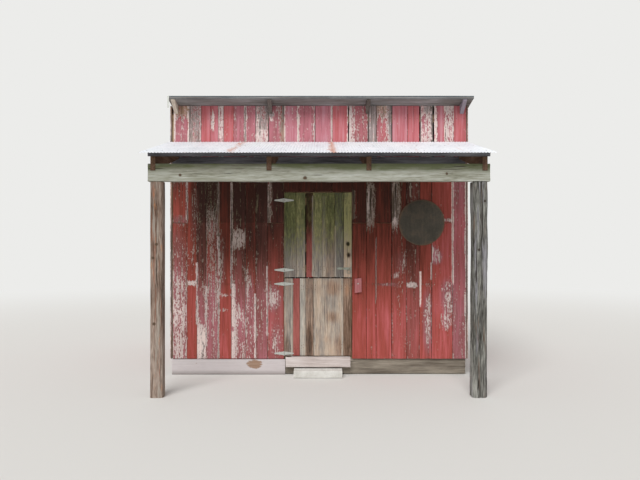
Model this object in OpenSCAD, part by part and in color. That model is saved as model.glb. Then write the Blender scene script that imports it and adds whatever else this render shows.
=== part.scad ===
// Small board shed with a mono-pitch roof, a porch with a corrugated roof on a
// notched beam, and a boarded door in two leaves on strap hinges.
// Millimetres. +Z is up, the door faces -Y, +X is to the right of the door.
// The origin is under the middle of the whole shed, at ground level.

/* [Walls] */
// Width over the side walls
wall_w = 3600; // [3200:10:4200]
// Depth over the front and rear walls
wall_d = 2440; // [2000:10:3200]
// Thickness of the wall boards
siding_t = 25; // [18:1:32]
// Height of the boards' lower ends above the ground
siding_bottom = 190; // [150:1:215]

/* [Base and floor] */
// Width of the base timbers
sill_w = 100; // [80:1:140]
// Height of the floor above the ground
floor_top = 222; // [218:1:260]
// Thickness of the floor boards
floor_t = 25; // [18:1:32]
// Width of a floor joist
joist_w = 45; // [35:1:60]
// Depth of a floor joist
joist_h = 145; // [100:1:170]
// Number of floor joists
joist_count = 5; // [3:1:8]
// Thickness of the skirt board left of the door
skirt_t = 22; // [12:1:25]
// Gap between the skirt and the wall boards above it
skirt_gap = 4; // [2:1:15]

/* [Wall frame] */
// Side of the posts and plates
post_s = 90; // [70:1:120]
// Height of a wall rail
rail_h = 90; // [60:1:120]
// Depth of a wall rail
rail_t = 45; // [35:1:60]
// Height of the lowest wall rails, at their middle
rail_low_z = 1100; // [700:10:1300]
// Height of the middle wall rails
rail_mid_z = 1800; // [1500:10:2000]
// Height of the top rails of the front and side walls
rail_high_z = 2450; // [2200:10:2480]
// Thickness of the sole plates on the floor
sole_t = 45; // [30:1:60]

/* [Main roof] */
// Underside of the roof boards at the front wall's face
wall_top = 3246; // [3000:1:3500]
// Fall of the roof to the rear, in degrees
roof_pitch = 11; // [8:0.5:13]
// Overhang in front
front_overhang = 200; // [150:5:350]
// Overhang at the rear
rear_overhang = 150; // [60:5:300]
// Width of the roof
roof_w = 3600; // [3600:1:4300]
// Sideways shift of the roof on the walls
roof_shift = 20; // [-40:1:40]
// Width of a rafter
rafter_w = 45; // [35:1:60]
// Depth of a rafter
rafter_h = 98; // [80:1:140]
// Distance of the outer rafters from the outside of the walls
rafter_inset = 80; // [60:1:140]
// Distance of the inner rafters from the middle
rafter_mid_x = 585; // [550:1:900]
// Depth left at the tip of a rafter's tail
tail_tip = 18; // [8:1:60]
// Thickness of the roof boards
deck_t = 25; // [18:1:32]
// Thickness of the roof covering
covering_t = 5; // [2:0.5:8]
// Height of the front drip edge
edge_h = 50; // [45:1:80]
// How far the drip edge stands above the covering
edge_raise = 2; // [0:1:18]
// Drop of the covering over the rear edge of the roof boards
rear_drop = 45; // [35:1:80]
// Length of the loose flashing strip at the front corner
flashing_l = 140; // [80:5:200]
// Width of that strip
flashing_w = 20; // [12:1:30]

/* [Porch roof] */
// How far the porch sheets reach in front of the wall
porch_reach = 1281; // [1200:1:1700]
// Top of the porch sheets at the wall
porch_top = 2812; // [2760:1:2950]
// Fall of the porch roof, in degrees
porch_pitch = 13.7; // [8:0.1:15]
// Sideways shift of the porch roof
porch_shift = -18; // [-40:1:40]
// Number of corrugated sheets
sheet_count = 8; // [4:1:10]
// Corrugations that each sheet covers
cover_waves = 14; // [8:1:18]
// Corrugations in each side lap
lap_waves = 1.5; // [1.5:1:2.5]
// Width of one corrugation
wave_pitch = 31.75; // [31:0.25:34]
// Depth of the corrugation
wave_h = 6.4; // [5:0.1:12]
// Thickness of the sheet metal
sheet_t = 0.8; // [0.6:0.1:1.5]
// Width of a purlin
purlin_w = 45; // [35:1:70]
// Depth of a purlin
purlin_h = 50; // [35:1:70]
// Number of purlins
purlin_count = 3; // [2:1:5]
// Width of a porch rafter
porch_rafter_w = 50; // [38:1:70]
// Depth of a porch rafter
porch_rafter_h = 140; // [90:1:160]
// Distance of the outer porch rafters from the beam's ends
porch_rafter_inset = 55; // [40:1:160]
// Distance of the inner porch rafters from the middle
porch_rafter_mid_x = 512; // [350:1:800]
// Thickness of the ledger on the wall
ledger_t = 45; // [30:1:60]
// Height of the ledger
ledger_h = 120; // [90:1:160]
// Depth of the rafters' seat on the ledger
ledger_seat = 12; // [5:1:30]

/* [Porch beam and posts] */
// Length of the beam
beam_l = 3515; // [3300:5:3800]
// Thickness of the beam, front to back
beam_t = 90; // [70:1:140]
// Height of the beam
beam_h = 187; // [120:1:240]
// Depth of the rafters' notches in the beam, at its front
beam_notch = 75; // [20:1:110]
// Front of the beam, measured from the wall
beam_reach = 1130; // [1000:1:1150]
// Width of the left post
post_left_s = 140; // [100:1:200]
// Width of the right post
post_right_s = 170; // [100:1:200]
// Distance of the posts' outer faces from the beam's ends
porch_post_inset = 16; // [0:1:100]
// Wane on the posts' corners
post_wane = 16; // [4:1:30]

/* [Door] */
// Width of the doorway between the wall boards
door_w = 824; // [700:2:900]
// Middle of the doorway, from the middle of the wall
door_x = -12; // [-60:1:60]
// Height of the doorway's head above the ground
door_top = 2202; // [2000:1:2300]
// Height at which the door is split into two leaves
door_split = 1168; // [1140:1:1190]
// Gap round each leaf
leaf_gap = 6; // [5:1:10]
// Gap between the two leaves
split_gap = 10; // [6:1:16]
// Thickness of the leaves' boards
leaf_t = 20; // [15:1:20]
// How far the frame stands behind the leaves' edges as a stop
stop_w = 15; // [8:1:25]
// Height of the ledges inside the leaves
ledge_h = 90; // [60:1:120]
// Thickness of the ledges and braces
ledge_t = 22; // [16:1:30]
// Distance of the ledges from the leaves' upper and lower ends
ledge_inset = 60; // [30:1:100]
// Width of the plank under the door
plank_w = 780; // [600:2:790]
// How far that plank stands out from the wall
plank_proud = 65; // [30:1:100]
// Height of the plank
plank_h = 123; // [80:1:160]
// Width of the step block
step_w = 573; // [400:1:900]
// Middle of the step block
step_x = -12; // [-60:1:60]
// Front of the step block, measured from the wall
step_reach = 211; // [150:1:400]
// Height of the step block
step_h = 88; // [60:1:92]

/* [Strap hinges] */
// Length of a strap from the pin to its point
strap_l = 118; // [90:1:200]
// Height of a strap at the barrel
strap_h = 45; // [36:1:60]
// Height of a strap at its point
strap_tip = 14; // [8:1:24]
// Thickness of the strap metal
strap_t = 3; // [2:0.5:4]
// Outer radius of the barrel
barrel_r = 8; // [7:0.5:10]
// Radius of the hinge pin
pin_r = 4; // [3:0.5:5]
// Running clearance round the pin
pin_fit = 0.06; // [0.03:0.01:0.09]
// Distance of the upper hinge of the upper leaf below the leaf's top
hinge_drop = 93; // [70:1:200]
// Distance of the upper leaf's lower hinge above the split
hinge_over_split = 95; // [60:1:120]
// Distance of the lower leaf's upper hinge below the split
hinge_under_split = 73; // [60:1:120]
// Distance of the lowest hinge above the leaf's foot
hinge_rise = 30; // [28:1:160]

/* [Hasp and turn button] */
// Length of the hasp
hasp_l = 165; // [120:1:200]
// Height of the hasp's strap
hasp_h = 26; // [18:1:34]
// Distance of the hasp above the split
hasp_rise = 112; // [105:1:160]
// Distance of the hasp's end from the leaf's edge
hasp_inset = 10; // [4:1:40]
// Radius of the ring in the hasp, at the middle of the wire
ring_r = 22; // [16:1:26]
// Radius of the ring's wire
ring_wire_r = 3; // [2:0.5:4]
// Long arm of the turn button, from its screw
button_long = 111; // [90:1:114]
// Short arm of the turn button
button_short = 68; // [45:1:90]
// Width of the turn button
button_w = 82; // [50:1:84]
// Thickness of the turn button
button_t = 20; // [12:1:30]
// Distance of the screw from the doorway's edge
button_x = 70; // [68:1:100]
// Distance of the screw below the split
button_drop = 69; // [60:1:120]
// Thickness of the washer behind the turn button
washer_t = 8; // [6:1:14]
// Radius of the washer
washer_r = 15; // [10:1:20]
// Radius of the screw
screw_r = 4; // [3:0.5:6]

/* [Harrow disc on the wall] */
// Diameter of the dished disc
disc_d = 555; // [300:5:640]
// Thickness of the disc
disc_t = 4; // [3:0.5:6]
// Depth of its dish
disc_dish = 56; // [30:1:90]
// Side of the square hole in its middle
disc_hole = 28; // [24:1:36]
// Middle of the disc, from the middle of the wall
disc_x = 1236; // [900:1:1300]
// Height of the disc's middle
disc_z = 1835; // [1200:1:2000]
// Radius of the nail that carries the disc
nail_r = 4; // [3:0.5:6]

/* [Hidden] */
$fn = 48;
seat_gap = 0.3;         // clearance where thin or curved pieces lie on others
notch_gap = 1.5;        // clearance of a rafter in a notch
deck_gap = 0.1;         // clearance under the main roof's boards
ledge_gap = 10;         // clearance of the ledges inside the frame's stops
leaf_foot_gap = 6;      // clearance between the plank and the lower leaf
eave_gap = 3;           // clearance of the sheets' upper ends to the wall
tail_back = 12;         // the rafters' tails end this far behind the roof's edge
lip_t = 4;              // thickness of the drip edge and of the rear turn-down
flashing_t = 2;         // thickness of the flashing strip
knuckle_gap = 0.25;     // clearance between neighbouring knuckles
relief = 0.6;           // clearance of the straps round the opposite knuckles
pin_head_h = 3;         // height of the pin's heads
pin_head_r = 6;         // radius of the pin's heads
screw_head_r = 8;       // radius of the turn button's screw head
screw_head_t = 3;       // thickness of that head
nail_cap = 4;           // how far the nail's washer covers the disc round its hole
nail_head_t = 3;        // thickness of that washer
dish_steps = 9;         // flat rings in the disc's dish
wave_steps = 6;         // flat strips in one corrugation
cut = 1;                // how far a cutting shape reaches past a surface

// Front and rear of the walls, along Y
total_d = porch_reach + wall_d + rear_overhang;
front_y = porch_reach - total_d / 2;
rear_y = front_y + wall_d;
// Inner faces of the boards, where the wall frame begins
frame_x = wall_w / 2 - siding_t;
frame_front = front_y + siding_t;
frame_rear = rear_y - siding_t;

// Heights in the base
floor_under = floor_top - floor_t;
skirt_top = siding_bottom - skirt_gap;

// Doorway and leaves
door_left = door_x - door_w / 2;
door_right = door_x + door_w / 2;
leaf_left = door_left + leaf_gap;
leaf_right = door_right - leaf_gap;
leaf_foot = floor_top + leaf_foot_gap;
leaf_head = door_top - leaf_gap;
lower_head = door_split - split_gap / 2;
upper_foot = door_split + split_gap / 2;
post_left_x = door_left + stop_w;
post_right_x = door_right - stop_w;

// Hinge axis and hinge heights
hinge_off = barrel_r + cut;
axis_x = door_left + leaf_gap / 2;
axis_y = front_y - hinge_off;
upper_hinges = [leaf_head - hinge_drop, door_split + hinge_over_split];
lower_hinges = [door_split - hinge_under_split, leaf_foot + hinge_rise];
knuckle_h = strap_h / 3;

// Turn button
screw_x = door_right + button_x;
screw_z = door_split - button_drop;
button_back = front_y - washer_t - seat_gap;

// Main roof: vertical depths and the lines that slope with it
deck_v = deck_t / cos(roof_pitch);
covering_v = covering_t / cos(roof_pitch);
rafter_v = rafter_h / cos(roof_pitch);
front_edge_top = deck_z(front_overhang) + deck_v + covering_v + edge_raise;
front_plate_top = deck_z(-siding_t) - rafter_v;
rear_plate_top = deck_z(siding_t + post_s - wall_d) - rafter_v;
rafter_end_x = wall_w / 2 - rafter_inset;
rafter_xs = [-rafter_end_x, -rafter_mid_x, rafter_mid_x, rafter_end_x];

// Porch roof
lap_rise = sheet_t + seat_gap;
sheet_cover = cover_waves * wave_pitch;
sheet_w = sheet_cover + lap_waves * wave_pitch;
porch_w = sheet_count * sheet_cover + lap_waves * wave_pitch;
sheet_band = wave_h + sheet_t + lap_rise + seat_gap;
sheet_l = (porch_reach - eave_gap) / cos(porch_pitch) - sheet_band * tan(porch_pitch);
purlin_top = porch_top - sheet_band / cos(porch_pitch);
purlin_v = purlin_h / cos(porch_pitch);
porch_rafter_v = porch_rafter_h / cos(porch_pitch);
porch_rafter_xs = [
    -beam_l / 2 + porch_rafter_inset, -porch_rafter_mid_x,
    porch_rafter_mid_x, beam_l / 2 - porch_rafter_inset];
ledger_top = porch_rafter_under(0) + ledger_seat;
beam_y = front_y - beam_reach;
beam_bottom = porch_rafter_under(beam_reach) + beam_notch - beam_h;
post_left_outer = -beam_l / 2 + porch_post_inset;
post_right_outer = beam_l / 2 - porch_post_inset;

// Harrow disc
disc_round = (pow(disc_d / 2, 2) + pow(disc_dish, 2)) / (2 * disc_dish);
nail_z = disc_z + disc_hole / 2 - nail_r - seat_gap;

// Underside of the roof boards, a distance in front of the front wall's face
function deck_z(forward) = wall_top + forward * tan(roof_pitch);

// Top of the rafters and walls under those boards
function under_deck(forward) = deck_z(forward) - deck_gap;

// Top and underside of the porch rafters, a distance in front of the wall
function porch_rafter_over(forward) = purlin_top - purlin_v - forward * tan(porch_pitch);
function porch_rafter_under(forward) = porch_rafter_over(forward) - porch_rafter_v;

// A squared timber from one corner to the opposite one
module timber(low, high) {
    translate(low) cube(high - low);
}

// An outline in Y and Z, pulled out along X from x_from to x_to
module along_x(x_from, x_to, outline) {
    translate([x_from, 0, 0])
        rotate([90, 0, 90])
            linear_extrude(x_to - x_from) polygon(outline);
}

// A cylinder that stands out of the wall, its back at wall distance from_d
module stud(x, z, r, from_d, to_d) {
    translate([x, front_y - from_d, z])
        rotate([90, 0, 0]) cylinder(r = r, h = to_d - from_d);
}

// Moves to a distance down the porch's slope, with Z along the slope
module on_porch_slope(x) {
    translate([x, front_y - eave_gap, purlin_top - eave_gap * tan(porch_pitch)])
        rotate([90 + porch_pitch, 0, 0]) children();
}

// Base and floor

module front_sill() {
    color("dimgray") timber([-frame_x, frame_front, 0], [frame_x, frame_front + sill_w, floor_under]);
}

module rear_sill() {
    color("dimgray") timber([-frame_x, frame_rear - sill_w, 0], [frame_x, frame_rear, floor_under]);
}

module side_sill(side) {
    color("dimgray")
        timber(
            [side > 0 ? frame_x - sill_w : -frame_x, frame_front + sill_w, 0],
            [side > 0 ? frame_x : sill_w - frame_x, frame_rear - sill_w, floor_under]);
}

module left_sill() {
    side_sill(-1);
}

module right_sill() {
    side_sill(1);
}

module skirt_board() {
    color("darkseagreen")
        timber(
            [-frame_x, frame_front - skirt_t, 0],
            [door_x - plank_w / 2 - leaf_gap, frame_front, skirt_top]);
}

module floor_joists() {
    step = 2 * (frame_x - sill_w) / (joist_count + 1);
    color("tan")
        for (i = [1:joist_count])
            translate([i * step - frame_x + sill_w - joist_w / 2, 0, 0])
                timber(
                    [0, frame_front + sill_w, floor_under - joist_h],
                    [joist_w, frame_rear - sill_w, floor_under]);
}

module floor() {
    color("burlywood")
        timber([-frame_x, frame_front, floor_under], [frame_x, frame_rear, floor_top]);
}

// Wall frame

module sole_plates() {
    plate_top = floor_top + sole_t;
    side_y0 = frame_front + post_s;
    side_y1 = frame_rear - post_s;
    color("tan") {
        timber([post_s - frame_x, frame_front, floor_top], [post_left_x - post_s, side_y0, plate_top]);
        timber([post_right_x + post_s, frame_front, floor_top], [frame_x - post_s, side_y0, plate_top]);
        timber([post_s - frame_x, side_y1, floor_top], [frame_x - post_s, frame_rear, plate_top]);
        timber([-frame_x, side_y0, floor_top], [post_s - frame_x, side_y1, plate_top]);
        timber([frame_x - post_s, side_y0, floor_top], [frame_x, side_y1, plate_top]);
    }
}

module corner_posts() {
    color("tan")
        for (x = [-frame_x, frame_x - post_s]) {
            timber([x, frame_front, floor_top], [x + post_s, frame_front + post_s, front_plate_top - post_s]);
            timber([x, frame_rear - post_s, floor_top], [x + post_s, frame_rear, rear_plate_top - post_s]);
        }
}

module door_posts() {
    color("tan")
        for (x = [post_left_x - post_s, post_right_x])
            timber([x, frame_front, floor_top], [x + post_s, frame_front + post_s, front_plate_top - post_s]);
}

module door_header() {
    color("tan")
        timber(
            [post_left_x, frame_front, door_top - stop_w],
            [post_right_x, frame_front + post_s, door_top - stop_w + post_s]);
}

module front_top_plate() {
    color("tan")
        timber(
            [-frame_x, frame_front, front_plate_top - post_s],
            [frame_x, frame_front + post_s, front_plate_top]);
}

module rear_top_plate() {
    color("tan")
        timber(
            [-frame_x, frame_rear - post_s, rear_plate_top - post_s],
            [frame_x, frame_rear, rear_plate_top]);
}

module front_rails() {
    color("tan")
        for (z = [rail_low_z, rail_mid_z, rail_high_z])
            for (span = [[post_s - frame_x, post_left_x - post_s], [post_right_x + post_s, frame_x - post_s]])
                timber(
                    [span[0], frame_front, z - rail_h / 2],
                    [span[1], frame_front + rail_t, z + rail_h / 2]);
}

module side_rails() {
    color("tan")
        for (z = [rail_low_z, rail_mid_z, rail_high_z])
            for (x = [-frame_x, frame_x - rail_t])
                timber(
                    [x, frame_front + post_s, z - rail_h / 2],
                    [x + rail_t, frame_rear - post_s, z + rail_h / 2]);
}

module rear_rails() {
    color("tan")
        for (z = [rail_low_z, rail_mid_z])
            timber(
                [post_s - frame_x, frame_rear - rail_t, z - rail_h / 2],
                [frame_x - post_s, frame_rear, z + rail_h / 2]);
}

// Walls

// A rafter of the main roof with its slanted tail and its seats on the plates
module rafter_blank(x, side_gap, foot_gap) {
    tail = front_overhang - tail_back;
    rear = wall_d + rear_overhang - tail_back;
    along_x(x - rafter_w / 2 - side_gap, x + rafter_w / 2 + side_gap, [
        [front_y - tail, under_deck(tail)],
        [front_y + rear, under_deck(-rear)],
        [front_y + rear, deck_z(-rear) - rafter_v - foot_gap],
        [front_y, deck_z(0) - rafter_v - foot_gap],
        [front_y - tail, deck_z(tail) - tail_tip]]);
}

module wall_across(x_from, x_to, face, foot) {
    along_x(x_from, x_to, [
        [face, foot],
        [face, under_deck(front_y - face)],
        [face + siding_t, under_deck(front_y - face - siding_t)],
        [face + siding_t, foot]]);
}

module front_wall_left() {
    color("indianred")
        difference() {
            wall_across(-frame_x, door_left, front_y, siding_bottom);
            for (x = rafter_xs) rafter_blank(x, notch_gap, notch_gap);
        }
}

module front_wall_right() {
    color("indianred")
        difference() {
            wall_across(door_right, frame_x, front_y, siding_bottom);
            for (x = rafter_xs) rafter_blank(x, notch_gap, notch_gap);
        }
}

module front_wall_top() {
    color("indianred") wall_across(door_left, door_right, front_y, door_top);
}

module rear_wall() {
    color("indianred")
        difference() {
            wall_across(-frame_x, frame_x, frame_rear, siding_bottom);
            for (x = rafter_xs) rafter_blank(x, notch_gap, notch_gap);
        }
}

module side_wall(x) {
    color("indianred")
        along_x(x, x + siding_t, [
            [front_y, siding_bottom],
            [rear_y, siding_bottom],
            [rear_y, under_deck(-wall_d)],
            [front_y, under_deck(0)]]);
}

module left_wall() {
    side_wall(-wall_w / 2);
}

module right_wall() {
    side_wall(frame_x);
}

// Main roof

module roof_rafters() {
    color("slategray")
        difference() {
            for (x = rafter_xs) rafter_blank(x, 0, 0);
            front_top_plate();
            rear_top_plate();
        }
}

module roof_boards() {
    front = front_overhang - lip_t;
    rear = wall_d + rear_overhang - lip_t;
    color("gray")
        along_x(roof_shift - roof_w / 2, roof_shift + roof_w / 2, [
            [front_y - front, deck_z(front)],
            [front_y + rear, deck_z(-rear)],
            [front_y + rear, deck_z(-rear) + deck_v],
            [front_y - front, deck_z(front) + deck_v]]);
}

module roof_covering() {
    front = front_overhang - lip_t;
    rear = wall_d + rear_overhang;
    rear_top = deck_z(-rear) + deck_v + covering_v;
    color("slategray")
        along_x(roof_shift - roof_w / 2, roof_shift + roof_w / 2, [
            [front_y - front_overhang, front_edge_top - edge_h],
            [front_y - front_overhang, front_edge_top],
            [front_y - front, front_edge_top],
            [front_y - front, deck_z(front) + deck_v + covering_v],
            [front_y + rear, rear_top],
            [front_y + rear, rear_top - rear_drop],
            [front_y + rear - lip_t, rear_top - rear_drop],
            [front_y + rear - lip_t, deck_z(lip_t - rear) + deck_v],
            [front_y - front, deck_z(front) + deck_v],
            [front_y - front, front_edge_top - edge_h]]);
}

module corner_flashing() {
    left = roof_shift - roof_w / 2;
    color("lightgray")
        timber(
            [left, front_y - front_overhang - flashing_t, front_edge_top - flashing_l],
            [left + flashing_w, front_y - front_overhang, front_edge_top]);
}

// Porch

module porch_ledger() {
    color("slategray")
        timber(
            [-beam_l / 2, front_y - ledger_t, ledger_top - ledger_h],
            [beam_l / 2, front_y, ledger_top]);
}

// A porch rafter, square cut at the wall and flush with the beam's front
module porch_rafter_blank(x, side_gap) {
    along_x(x - porch_rafter_w / 2 - side_gap, x + porch_rafter_w / 2 + side_gap, [
        [front_y, porch_rafter_over(0)],
        [front_y, porch_rafter_under(0)],
        [beam_y, porch_rafter_under(beam_reach)],
        [beam_y, porch_rafter_over(beam_reach)]]);
}

module porch_rafters() {
    color("slategray")
        difference() {
            for (x = porch_rafter_xs) porch_rafter_blank(x, 0);
            porch_ledger();
        }
}

module porch_beam() {
    color("gray")
        difference() {
            timber(
                [-beam_l / 2, beam_y, beam_bottom],
                [beam_l / 2, beam_y + beam_t, beam_bottom + beam_h]);
            for (x = porch_rafter_xs) porch_rafter_blank(x, notch_gap);
        }
}

// A hewn post with wane on its corners, from its outer side inwards
module hewn_post(outer, side, size) {
    big = post_wane;
    small = post_wane / 2;
    translate([outer, beam_y, 0])
        mirror([side > 0 ? 1 : 0, 0, 0])
            linear_extrude(beam_bottom)
                polygon([
                    [0, small], [small, 0], [size - big, 0], [size, big],
                    [size, size - small], [size - small, size], [big, size], [0, size - big]]);
}

module porch_post_left() {
    color("rosybrown") hewn_post(post_left_outer, -1, post_left_s);
}

module porch_post_right() {
    color("gray") hewn_post(post_right_outer, 1, post_right_s);
}

module porch_purlins() {
    first = purlin_h * tan(porch_pitch);
    last = (beam_reach - eave_gap) / cos(porch_pitch) - purlin_w;
    step = (last - first) / (purlin_count - 1);
    color("slategray")
        for (i = [0:purlin_count - 1])
            on_porch_slope(-beam_l / 2)
                translate([0, -purlin_h, first + i * step]) cube([beam_l, purlin_h, purlin_w]);
}

// Height of the corrugated sheet's underside across its width
function wave_v(x) = wave_h / 2 * (1 - cos(360 * x / wave_pitch));

module corrugated_sheet() {
    last = round(sheet_w / wave_pitch * wave_steps);
    under = [for (i = [0:last]) let (x = i * wave_pitch / wave_steps) [x, wave_v(x)]];
    over = [for (i = [last:-1:0]) let (x = i * wave_pitch / wave_steps) [x, wave_v(x) + sheet_t]];
    linear_extrude(sheet_l) polygon(concat(under, over));
}

module porch_sheets() {
    color("silver")
        on_porch_slope(porch_shift - porch_w / 2)
            for (i = [0:sheet_count - 1])
                translate([i * sheet_cover, seat_gap + (i % 2) * lap_rise, 0]) corrugated_sheet();
}

// Door

module door_plank() {
    color("tan")
        timber(
            [door_x - plank_w / 2, front_y - plank_proud, floor_top - plank_h],
            [door_x + plank_w / 2, frame_front, floor_top]);
}

module door_step() {
    color("gainsboro")
        timber([step_x - step_w / 2, front_y - step_reach, 0], [step_x + step_w / 2, frame_front, step_h]);
}

module leaf_boards(foot, head) {
    color("rosybrown") timber([leaf_left, front_y, foot], [leaf_right, front_y + leaf_t, head]);
}

// Two ledges and a brace that rises from the hinge side
module leaf_ledges(foot, head) {
    left = post_left_x + ledge_gap;
    right = post_right_x - ledge_gap;
    back = front_y + leaf_t;
    low = foot + ledge_inset;
    high = head - ledge_inset - ledge_h;
    color("tan")
        translate([0, back + ledge_t, 0])
            rotate([90, 0, 0])
                linear_extrude(ledge_t) {
                    translate([left, low]) square([right - left, ledge_h]);
                    translate([left, high]) square([right - left, ledge_h]);
                    polygon([
                        [left, low + ledge_h], [left + ledge_h, low + ledge_h],
                        [right, high], [right - ledge_h, high]]);
                }
}

module upper_leaf_boards() {
    leaf_boards(upper_foot, leaf_head);
}

module lower_leaf_boards() {
    leaf_boards(leaf_foot, lower_head);
}

module upper_leaf_ledges() {
    leaf_ledges(upper_foot, leaf_head);
}

module lower_leaf_ledges() {
    leaf_ledges(leaf_foot, lower_head);
}

// One pointed strap, flat on the wall, from the hinge axis to its side
module strap(side) {
    tip_x = strap_l - strap_tip / 2;
    mirror([side < 0 ? 1 : 0, 0, 0])
        rotate([90, 0, 0])
            linear_extrude(strap_t) {
                polygon([
                    [0, -strap_h / 2], [tip_x, -strap_tip / 2],
                    [tip_x, strap_tip / 2], [0, strap_h / 2]]);
                translate([tip_x, 0]) circle(d = strap_tip);
            }
}

// Space that the knuckles from one height to another turn in
module knuckle_space(from_z, to_z) {
    translate([0, -hinge_off, from_z]) cylinder(r = hinge_off + relief, h = to_z - from_z);
}

// The half of a hinge that is screwed to the wall, with the pin
module wall_strap() {
    barrel_h = 3 * knuckle_h;
    difference() {
        strap(-1);
        knuckle_space(-knuckle_h / 2, knuckle_h / 2);
    }
    for (z = [-barrel_h / 2, knuckle_h / 2])
        translate([0, -hinge_off, z]) cylinder(r = barrel_r, h = knuckle_h);
    translate([0, -hinge_off, -barrel_h / 2 - pin_head_h]) cylinder(r = pin_r, h = barrel_h + 2 * pin_head_h);
    for (z = [-barrel_h / 2 - pin_head_h, barrel_h / 2])
        translate([0, -hinge_off, z]) cylinder(r = pin_head_r, h = pin_head_h);
}

// The half of a hinge that is screwed to a leaf
module leaf_strap() {
    difference() {
        union() {
            difference() {
                strap(1);
                knuckle_space(knuckle_h / 2 - knuckle_gap, strap_h / 2 + cut);
                knuckle_space(-strap_h / 2 - cut, knuckle_gap - knuckle_h / 2);
            }
            translate([0, -hinge_off, knuckle_gap - knuckle_h / 2])
                cylinder(r = barrel_r, h = knuckle_h - 2 * knuckle_gap);
        }
        translate([0, -hinge_off, -knuckle_h]) cylinder(r = pin_r + pin_fit, h = 2 * knuckle_h);
    }
}

module wall_hinge_straps() {
    color("silver")
        for (z = concat(upper_hinges, lower_hinges))
            translate([axis_x, front_y, z]) wall_strap();
}

module upper_leaf_straps() {
    color("silver")
        for (z = upper_hinges) translate([axis_x, front_y, z]) leaf_strap();
}

module lower_leaf_straps() {
    color("silver")
        for (z = lower_hinges) translate([axis_x, front_y, z]) leaf_strap();
}

// Hasp strap with a ring that hangs from its end
module hasp() {
    z = door_split + hasp_rise;
    right = leaf_right - hasp_inset;
    left = right - hasp_l + hasp_h / 2;
    ring_x = right - ring_r - ring_wire_r;
    ring_z = z - hasp_h / 2 - ring_r - ring_wire_r;
    color("silver") {
        timber([left, front_y - strap_t, z - hasp_h / 2], [right, front_y, z + hasp_h / 2]);
        stud(left, z, hasp_h / 2, 0, strap_t);
        translate([ring_x, front_y - ring_wire_r - seat_gap, ring_z])
            rotate([90, 0, 0])
                rotate_extrude() translate([ring_r, 0]) circle(r = ring_wire_r);
        timber(
            [ring_x - ring_wire_r, front_y - 2 * ring_wire_r, ring_z + ring_r],
            [ring_x + ring_wire_r, front_y - seat_gap, z]);
    }
}

module button_screw() {
    button_front = washer_t + 2 * seat_gap + button_t;
    color("silver") {
        stud(screw_x, screw_z, washer_r, 0, washer_t);
        stud(screw_x, screw_z, screw_r, 0, button_front + screw_head_t);
        stud(screw_x, screw_z, screw_head_r, button_front, button_front + screw_head_t);
    }
}

module turn_button() {
    slant = button_w / 8;
    color("palevioletred")
        difference() {
            translate([screw_x, button_back, screw_z])
                rotate([90, 0, 0])
                    linear_extrude(button_t)
                        polygon([
                            [-button_w / 2, -button_long], [button_w / 2, slant - button_long],
                            [button_w / 2, button_short], [-button_w / 2, button_short - slant]]);
            stud(screw_x, screw_z, screw_r + pin_fit, 0, washer_t + button_t + cut * 2);
        }
}

// Harrow disc

// Height of the dish above the disc's rim, at a distance from its middle
function dish_z(r) = sqrt(disc_round * disc_round - r * r) - disc_round + disc_dish;

module wall_disc() {
    ring = disc_d / 2 / dish_steps;
    under = [for (i = [0:dish_steps]) [i * ring, dish_z(i * ring)]];
    over = [for (i = [dish_steps:-1:0]) [i * ring, dish_z(i * ring) + disc_t]];
    color("darkslategray")
        translate([disc_x, front_y - seat_gap, disc_z])
            rotate([90, 0, 0])
                difference() {
                    rotate_extrude($fn = 96) polygon(concat(under, over));
                    translate([-disc_hole / 2, -disc_hole / 2, 0])
                        cube([disc_hole, disc_hole, disc_dish + disc_t + cut]);
                }
}

// A long nail through the disc's hole, with a washer that keeps the disc on
module disc_nail() {
    disc_front = 2 * seat_gap + disc_dish + disc_t;
    washer_reach = disc_hole / sqrt(2) + nail_cap;
    color("dimgray") {
        stud(disc_x, nail_z, nail_r, 0, disc_front + nail_head_t);
        stud(disc_x, nail_z, washer_reach, disc_front, disc_front + nail_head_t);
    }
}

front_sill();
rear_sill();
left_sill();
right_sill();
skirt_board();
floor_joists();
floor();
sole_plates();
corner_posts();
door_posts();
door_header();
front_top_plate();
rear_top_plate();
front_rails();
side_rails();
rear_rails();
front_wall_left();
front_wall_right();
front_wall_top();
left_wall();
right_wall();
rear_wall();
roof_rafters();
roof_boards();
roof_covering();
corner_flashing();
porch_ledger();
porch_rafters();
porch_beam();
porch_post_left();
porch_post_right();
porch_purlins();
porch_sheets();
door_plank();
door_step();
wall_hinge_straps();
button_screw();
upper_leaf_boards();
upper_leaf_ledges();
upper_leaf_straps();
hasp();
lower_leaf_boards();
lower_leaf_ledges();
lower_leaf_straps();
turn_button();
wall_disc();
disc_nail();
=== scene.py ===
import math
import random

import bmesh
import bpy
from mathutils import Matrix, Vector, noise
from mathutils.bvhtree import BVHTree


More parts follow.
